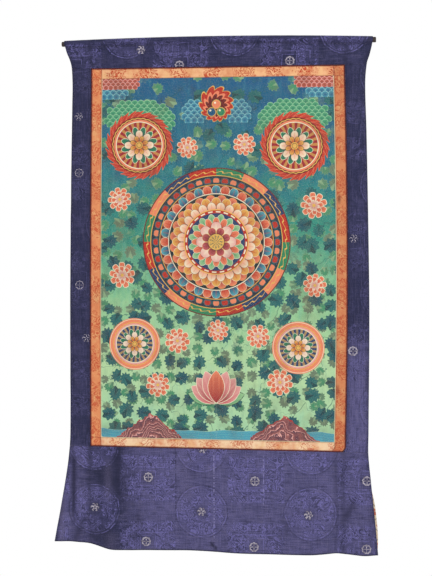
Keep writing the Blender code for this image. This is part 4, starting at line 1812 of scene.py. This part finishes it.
def halo_layer(tree, base):
    """A lotus seen from above on coloured rings, with a ring of flames outside."""
    x, y, kind = parts(attribute(tree, "halo", "Vector"))
    radius, angle = polar(x, y)
    low = (kind - 1.5).edge(0.5)
    odd = (kind * 0.5).math("FRACT") * 2.0
    lick = (angle * 14.0 + radius * 0.25).math("SINE") * 2.0
    licked = lick * low.below(1.0) + radius
    field = disc(base, licked, 53.0, over(low, RED, CORAL))
    fire = (28, (36, 57), (CRIMSON, FLAME, CORAL, RED, FLAME), 0.0, 0.7, 0.7)
    flames = petal_ring(field, (radius, angle + radius * 0.03), *fire)
    picture = over(low, flames, over(radius.line(51.0, 1.0), field, CREAM))
    picture = disc(picture, radius, 46.5, over(low, MAROON, CORAL))
    curl = (angle * 30.0).math("SINE") * 0.5 + radius
    picture = over(curl.line(44.0, 1.4), picture, GOLD)
    ray = (angle * 24.0).math("SINE").edge(0.3) * (radius - 26.0).edge(2.0)
    cups = (over(low, CORAL, PINK), CREAM, INK)
    picture = painted_rings(picture, (radius, angle), (
        (42.0, over(odd, PINK, CORAL)),
        (39.0, CREAM),
        (37.6, over(ray * 0.5, over(low, CRIMSON, INDIGO), GOLD)),
        (12, (8, 31), (LEAF_DARK, LEAF_GREEN, CREAM), 0.5),
        (8, (6, 25), cups, 0.0, 0.5, 0.8),
        (8, (4, 16), (RED, GOLD, INK), 0.5, 0.5, 0.7),
        (6.0, GOLD),
    ))
    picture = over(radius.line(4.0, 0.8), picture, MAROON)
    return over(attribute(tree, "halo_on").math("GREATER_THAN", 0.5), base, picture)


def jewel(base, u, v, place, size, tone):
    """A round jewel with a rim and a pale glint."""
    radius, _ = polar(u - place[0], v - place[1])
    stone = disc(base, radius, size, INK)
    stone = disc(stone, radius, size - 0.9, GOLD)
    stone = disc(stone, radius, size - 2.4, tone)
    glint, _ = polar(u - (place[0] - size * 0.25), v - (place[1] + size * 0.3))
    return over(glint.below(size * 0.22).edge(0.8), stone, CREAM)


def jewel_heap(base, u, v):
    """Three jewels in a leaf-shaped flame, in the clouds above the rosette."""
    radius, angle = polar(u, v - JEWELS_HEIGHT)
    lick = abs((angle * 6.5 + radius * 0.12).math("SINE")) * 7.0
    flame = lick + 31.0 - radius + (v - JEWELS_HEIGHT) * 0.25
    heap = over(flame.edge(), base, GOLD)
    heap = over((flame - 1.6).edge(), heap, RED)
    heap = over((flame - 9.0).edge(), heap, CORAL)
    heap = over((flame - 14.0).edge(), heap, MAROON)
    for x, lift, tone in ((-10.5, -8.0, DEEP_BLUE), (10.5, -8.0, LEAF_GREEN), (0.0, 9.0, CORAL)):
        heap = jewel(heap, u, v, (x, JEWELS_HEIGHT + lift), 11.0, tone)
    return heap


def lotus_layer(base, u, v):
    """A large lotus seen from the side: pairs of leaf-shaped petals that fan out."""
    x, y = abs(u), v - LOTUS_FOOT
    fan = (
        (1.25, 66.0, 15.0, (LEAF_GREEN, PALE_GREEN, INK)), (0.98, 66.0, 17.0, (ROSE, PINK, CREAM)),
        (0.66, 70.0, 18.0, (CRIMSON, PINK, CREAM)), (0.33, 74.0, 18.0, (ROSE, PINK, CREAM)),
        (0.0, 72.0, 19.0, (CRIMSON, CORAL, CREAM)),
    )
    for lean, length, wide, tones in fan:
        along = x * math.sin(lean) + y * math.cos(lean)
        across = abs(x * math.cos(lean) - y * math.sin(lean)) if lean else x
        share = (along / length).share()
        width = (share * math.pi).math("SINE").most(0.0).math("POWER", 0.75) * wide
        inside = width - across
        petal = over(share, tones[0], tones[1])
        stripe = ((across / wide) * 14.0).math("SINE").edge(0.5) * share.below(0.85).edge(0.2)
        petal = over(stripe * 0.25, petal, tones[0])
        petal = over(inside.below(1.2).edge(), petal, tones[2])
        base = over(inside.edge(), base, petal)
    return base


def rosette_rim(base, radius, angle):
    """The rosette's outermost band: lengths of four colours with a wavy gold line."""
    rim = disc(base, radius, ROSETTE[2], MAROON)
    segment = (angle / math.tau * 16.0 + 40.0).math("FLOOR") * 0.25
    hue = segment.math("FRACT")
    fire = over((hue - 0.2).edge(0.1), RED, INDIGO)
    fire = over((hue - 0.45).edge(0.1), fire, CORAL)
    fire = over((hue - 0.7).edge(0.1), fire, LEAF_GREEN)
    lick = (angle * 48.0 + radius * 0.5).math("SINE") * 1.6 + radius
    fire = over(lick.line(141.0, 1.5), fire, GOLD)
    return disc(rim, radius, 148.0, fire)


OUTER_RINGS = (
    (116.0, GOLD),
    (114.6, MAROON),
    (36, (97, 114), (RED, CORAL, CREAM, INDIGO, WATER), 0.0, 0.4, 0.7),
    (98.0, CREAM),
    (96.4, INK),
    (24, (70, 95), (CRIMSON, CORAL, GOLD), 0.5, 0.4, 0.8),
    (24, (66, 90), (RED, GOLD, CREAM), 0.0, 0.5, 0.8),
    (24, (62, 80), (CORAL, CREAM, INK), 0.5, 0.5, 0.6),
    (66.0, GOLD),
    (64.0, RED),
)
INNER_RINGS = (
    (58.0, INDIGO),
    (16, (24, 57), (LEAF_GREEN, PALE_GREEN, CREAM), 0.5),
    (16, (22, 50), (RED, CORAL, CREAM), 0.0, 0.5, 0.8),
    (8, (16, 41), (CREAM, PINK, INK), 0.0, 0.5, 0.7),
    (8, (12, 30), (MAROON, ROSE, GOLD), 0.5, 0.5, 0.7),
    (17.0, INK),
    (16.0, GOLD),
)


def rosette_layer(radius, angle):
    """Rings of petals, beads and bands round a seed head, from the outside in."""
    where = (radius, angle)
    wheel = rosette_rim(MAROON, radius, angle)
    wheel = painted_rings(wheel, where, ((134.5, GOLD), (133.0, colour(38, 46, 66))))
    beads = placed_group(
        radius.tree, PETALS, Radius=radius, Angle=angle, Count=44.0, Inner=117.0, Outer=131.0,
        Turn=0.0, Blunt=0.5,
    )
    odd = (beads["Number"] * 0.5).math("FRACT") * 2.0
    wheel = over(beads["Inside"].edge(), wheel, over(odd, SLATE, LEAF_DARK))
    wheel = over((beads["Inside"] - 2.6).edge(), wheel, over(odd, RED, CORAL))
    wheel = painted_rings(wheel, where, OUTER_RINGS)
    studs = ((angle * 24.0).math("SINE") * 1.6).below(0.4).edge(0.4) * radius.line(61.0, 2.6)
    wheel = painted_rings(over(studs, wheel, CREAM), where, INNER_RINGS)
    seed = cells(joined(radius * 0.4, angle * 2.0), randomness=0.2, scale=0.9)
    dot = (Wire(radius.tree, seed.outputs["Distance"]) * 5.0).below(1.5).edge()
    return over(dot * radius.below(14.0).edge(), wheel, LEAF_DARK)


# %% [markdown]
# ## Three materials for one cloth
# A renderer has room for a limited number of steps in one material, and all the layers
# together pass it. The cloth therefore has three: one inside the rosette, one above and
# one below. The ground, the leaves and the rosette's rim are the same formulas of the
# place in each, so nothing shows where they meet.

# %% The painted cloth's materials


def meadow(tree, place, v):
    """The ground with its stems and two scatters of leaves, denser towards the foot."""
    more = (v - GROUND_TOP) / -GROUND_HEIGHT * 0.55 + 0.42
    base = ground_layer(tree, place, v)
    base = stem_layer(base, place)
    base = leaf_layer(tree, base, place, 30.0, 14.0, (17.0, 5.0, 0.0), LEAF_TONES, more)
    return leaf_layer(tree, base, place, 41.0, 18.0, (3.0, 21.0, 0.0), DARK_LEAF_TONES, more)


def aged(tree, shader, base, place):
    """Dust, rubbed spots, the bare margin, and the relief of weave and paint."""
    weave, age = woven(place, 0.7, 60.0)
    base = over((age["Blotch"] - 0.5).share(1.2), base, colour(90, 70, 50))
    base = over((age["Grain"] - 0.55).share(1.2), base, CREAM)
    base = over(attribute(tree, "edge").below(1.3).edge(0.5), base, colour(226, 204, 164))
    crack = cells(place, feature="DISTANCE_TO_EDGE", scale=0.2)
    cracked = Wire(tree, crack.outputs["Distance"]).share(6.0)
    coat(shader, base, weave["Height"] * 0.35 + weave["Slub"] * 0.35 + cracked * 0.3, 0.00015)


def shaky(place, u, v):
    """The place as a brush would find it: a millimetre off here and there."""
    return (
        u + noise(place, 0.16, 2.0) * 1.6 - 0.8,
        v + noise(joined(v, u), 0.2, 2.0) * 1.6 - 0.8,
    )


def rosette_place(u, v):
    """Distance and angle from the rosette's middle, in the rosette's own scale."""
    return polar((u - ROSETTE[0]) / ROSETTE_SCALE, (v - ROSETTE[1]) / ROSETTE_SCALE)


LEAF_TONES = (colour(110, 128, 104), colour(64, 148, 106), LEAF_GREY, colour(150, 184, 140))
DARK_LEAF_TONES = (colour(22, 78, 96), colour(34, 100, 104), colour(52, 120, 112), colour(20, 56, 66))
GREEN_BANK = (colour(36, 118, 96), colour(96, 180, 128), colour(60, 150, 112), colour(158, 210, 164))
RED_BANK = (MAROON, colour(206, 84, 66), colour(226, 140, 120), PINK)
BLUE_BANK = (DEEP_BLUE, colour(84, 168, 186), colour(44, 118, 150), colour(146, 206, 206))


def upper_material():
    """Clouds, jewels, two haloes and the rosette's rim on the meadow."""
    material, tree, shader = new_material("painted_cloth_upper", 0.78)
    place, u, v = cloth_place(tree)
    base = meadow(tree, place, v)
    near_u, near_v = shaky(place, u, v)

    def round_bank(a, b, middle, size, squash):
        """Positive inside two ellipses, one on each side of the upright middle line."""
        reach, _ = polar((abs(a) - middle[0]) * squash, b - middle[1])
        return -reach + size

    def blue(a, b):
        corner = (b + 124.0).least(abs(a) - 202.0)
        return corner.most(round_bank(a, b, (46.0, -158.0), 24.0, 0.8))

    def green(a, b):
        return round_bank(a, b, (170.0, -172.0), 40.0, 0.52)

    def red(a, b):
        return (b + 103.0).least(abs(a) - 172.0)

    base = cloud_layer(base, near_u, near_v, blue, 14.0, BLUE_BANK)
    base = cloud_layer(base, near_u, near_v, green, 14.0, GREEN_BANK)
    base = cloud_layer(base, near_u, near_v, red, 11.0, RED_BANK)
    base = halo_layer(tree, peony_layer(tree, base))
    base = jewel_heap(base, near_u, near_v)
    base = rosette_rim(base, *rosette_place(u, v))
    aged(tree, shader, base, place)
    return material


def lower_material():
    """Water, rocks, two haloes, a lotus and the rosette's rim on the meadow."""
    material, tree, shader = new_material("painted_cloth_lower", 0.78)
    place, u, v = cloth_place(tree)
    near_u, near_v = shaky(place, u, v)
    base = meadow(tree, place, v)
    base = water_layer(base, near_u, near_v)
    base = rock_layer(base, near_u, near_v, place)
    base = halo_layer(tree, peony_layer(tree, base))
    base = lotus_layer(base, near_u, near_v)
    base = rosette_rim(base, *rosette_place(u, v))
    aged(tree, shader, base, place)
    return material


def rosette_material():
    """The inside of the rosette."""
    material, tree, shader = new_material("painted_cloth_rosette", 0.78)
    place, u, v = cloth_place(tree)
    base = rosette_layer(*rosette_place(u, v))
    aged(tree, shader, base, place)
    return material


def face_materials(piece):
    """0 above the rosette's middle, 1 below it, 2 inside the rosette."""
    mesh = piece.data
    centres = np.empty(len(mesh.polygons) * 3)
    mesh.polygons.foreach_get("center", centres)
    x, _, z = centres.reshape(-1, 3).T / MM
    far = np.hypot(x - ROSETTE[0], z - ROSETTE[1])
    number = np.where(far < ROSETTE[2] * ROSETTE_SCALE - 8, 2, np.where(z > ROSETTE[1], 0, 1))
    mesh.polygons.foreach_set("material_index", number.astype(np.int32))


for made in (upper_material(), lower_material(), rosette_material()):
    canvas.data.materials.append(made)
    print(made.name, "has", len(made.node_tree.nodes), "nodes")
face_materials(canvas)

# %% [markdown]
# ## The lining
# A printed cotton behind everything. It is cut a little smaller than the front and hangs
# by itself at the foot, so along the lower right edge it has slipped out and shows its
# cream ground and red-brown print. It follows the same folds, one cloth further back.

# %% Lining sheet

LINING_PITCH = 0.0045
LINING_WIDE = 0.70
TRELLIS = 34.0
VINE_HALF = 1.1


def lining_sheet():
    """Above the bottom seam a level sheet; below it the bottom panel's own surface.

    The left edge is drawn in, and the right one slips out in a flat bell shape.
    """
    place = lines(LINING_WIDE, LINING_PITCH)[None, :]
    start = FLAP_END + GAP
    down = lines(HEM_DEPTH - start, LINING_PITCH)[:, None] + 0 * place
    depth = mix(start, HEM_DEPTH, down)
    slip = LINING_SLIP * bell(depth - SLIP_DEPTH, SLIP_HALF, 4)
    x = mix(left_edge(depth) + LINING_INSET, right_edge(depth) - LINING_INSET + slip, place)
    upper_share = np.clip((depth - start) / (BOTTOM_SEAM - start), 0.0, 1.0)
    upper = mix(rod_height(x) - start, -BOTTOM_SEAM - SEAM_SLOPE * x, upper_share)
    lower_share = (depth - BOTTOM_SEAM) / (HEM_DEPTH - BOTTOM_SEAM)
    foot = hem_line(x) - LINING_HEM
    lower = -mix(BOTTOM_SEAM + SEAM_SLOPE * x, foot, np.clip(lower_share, 0.0, 1.0))
    z = np.where(depth < BOTTOM_SEAM, upper, lower)
    y = front_y(x, depth) + CLOTH + LAYER_GAP
    front = np.stack((x, y, z), -1)
    back = np.stack((x, 2 * y + LINING - eased_edges(y), z), -1)
    return closed_sheet("printed_lining", front, back, np.stack((x, z), -1))


def lining_material():
    """Cream cotton with a trellis of red-brown flowers and small leaves."""
    material, tree, shader = new_material("printed_cotton", 0.85)
    place, u, v = cloth_place(tree)
    cross_u, cross_v = (u + v) * math.sqrt(0.5), (u - v) * math.sqrt(0.5)
    knot = (cross_u.wrapped(TRELLIS), cross_v.wrapped(TRELLIS))
    vine = abs(knot[0]).least(abs(knot[1])).below(VINE_HALF).edge(0.5)
    middle = [(cross + TRELLIS / 2).wrapped(TRELLIS) for cross in (cross_u, cross_v)]
    radius, angle = polar(*middle)
    red_brown = colour(156, 62, 44)
    petals = (red_brown, colour(206, 112, 84), red_brown)
    leaves = (colour(84, 92, 104), SLATE, INK)
    base = over(vine * 0.7, colour(226, 206, 178), colour(96, 100, 84))
    base = petal_ring(base, (radius, angle), 7, (2, 12.5), petals, 0.0, 0.4)
    base = disc(base, radius, 2.6, colour(214, 164, 84))
    base = petal_ring(base, polar(*knot), 4, (1, 6), leaves, 0.0, 0.6, 0.5)
    weave, age = woven(place, 0.8, 70.0)
    yellowed = (age["Blotch"] - 0.4).share(1.4) * 0.6
    base = over(yellowed, base, colour(170, 140, 108))
    pale_thread = (weave["Slub"] - 0.55).share(2.0) * 0.3
    base = over(pale_thread, base, colour(245, 232, 208))
    coat(shader, base, weave["Height"] * 0.5 + weave["Slub"] * 0.5, 0.0002)
    return material


lining = lining_sheet()
lining.data.materials.append(lining_material())
print("lining:", len(lining.data.polygons), "faces")

# %% [markdown]
# ## The rod
# A shaved stick of dark wood. Its radius wavers a little along its length and its ends
# are rounded over by wear, so it is a profile turned round the bowed axis.

# %% Rod

ROD_AROUND = 32
ROD_STEPS = 120
WORN_END = 0.0020
END_ROUNDING = 0.0016
ROD_SHAVED = 0.00025


def rod_surface():
    """Circles along the axis; the radius falls off as a quarter circle at each end."""
    ends = np.array((0.0, 0.1, 0.3, 0.6, 1.0)) * WORN_END / ROD_LENGTH
    share = np.concatenate((ends, np.linspace(0.01, 0.99, ROD_STEPS), 1 - ends[::-1]))
    x = (share - 0.5) * ROD_LENGTH
    from_end = np.minimum(share, 1 - share) * ROD_LENGTH
    inward = np.clip(1 - from_end / WORN_END, 0, 1)
    rounding = END_ROUNDING * (1 - np.sqrt(1 - inward**2))
    waver = 0.00012 * np.sin(x * 61) + 0.00010 * np.sin(x * 23 + 1)
    radius = ROD_RADIUS - ROD_SHAVED - rounding + waver
    angle = np.linspace(0, math.tau, ROD_AROUND, endpoint=False)
    y = radius[:, None] * np.cos(angle)
    z = rod_height(x)[:, None] + radius[:, None] * np.sin(angle)
    return np.stack((x[:, None] + 0 * y, y, z), -1)


def wood_material():
    """Dark brown with fine grain along the stick, in darker and greyer streaks."""
    material, tree, shader = new_material("rod_wood", 0.55)
    x, y, z = object_place(tree)
    _, angle = polar(y, z)
    grain = noise(joined(x * 0.03, angle * 3.0), 2.0, 4.0, 0.6)
    base = over((grain - 0.3) * 1.6, colour(40, 34, 34), colour(98, 82, 74))
    coat(shader, base, grain, 0.0003)
    return material


rod = closed_bar("hanging_rod", rod_surface(), wood_material())
print("rod:", len(rod.data.polygons), "faces")

# %% [markdown]
# ## Every piece takes its place
# Each piece rides on the one body and hides the plain node that it stands for. The
# table of sheets also lists a finish slot and a cut size for each, which nothing here reads.

# %% Riding and replacing

SILK_WIDE = 0.715
TOP_FLAT_WIDE = 0.680
NAVY_STRIP_WIDE = 0.047
ROUND_SHARE = 0.62  # how much of the rod's girth the sleeve lies on
FLAT_RUN = 0.008  # each straight run of the sleeve, behind and in front
SLEEVE_ROUND = math.tau * SLEEVE_RADIUS * ROUND_SHARE + 2 * FLAT_RUN
FRAME_HEIGHT = BORDER_BOTTOM - BORDER_TOP
BULGE_BOTH = 0.005  # what the two bulging sides add, on average
CANVAS_WIDE = 2 * (BORDER_HALF - SIDE_STRIP) + BORDER_SPREAD + BULGE_BOTH
SHEETS = (
    (canvas, "painting_canvas", "painted_cloth", (CANVAS_WIDE, CANVAS_BOTTOM - CANVAS_TOP)),
    (border_left, "border_left", "orange_brocade", (SIDE_STRIP, FRAME_HEIGHT)),
    (border_right, "border_right", "orange_brocade", (SIDE_STRIP, FRAME_HEIGHT)),
    (border_top, "border_top", "orange_brocade", (CANVAS_WIDE, TOP_STRIP)),
    (border_bottom, "border_bottom", "orange_brocade", (CANVAS_WIDE, BOTTOM_STRIP)),
    (mount_left, "mount_left", "navy_brocade", (NAVY_STRIP_WIDE, FRAME_HEIGHT)),
    (mount_right, "mount_right", "navy_brocade", (NAVY_STRIP_WIDE, FRAME_HEIGHT)),
    (mount_top, "mount_top", "navy_brocade", (TOP_FLAT_WIDE, TOP_SEAM + SLEEVE_ROUND)),
    (mount_bottom, "mount_bottom", "navy_brocade", (SILK_WIDE, HEM_DEPTH - BOTTOM_SEAM)),
    (lining, "lining", "printed_cotton", (SILK_WIDE, HEM_DEPTH - FLAP_END)),
)
for piece, node, slot, flat in SHEETS:
    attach(piece, "root")
    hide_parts(node)
for word, piece in welts.items():
    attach(piece, "root")
    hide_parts(f"welt_{word}")
for piece in (silver, faint_silver, *stitches):
    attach(piece, "root")
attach(rod, "root")
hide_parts("top_rod")
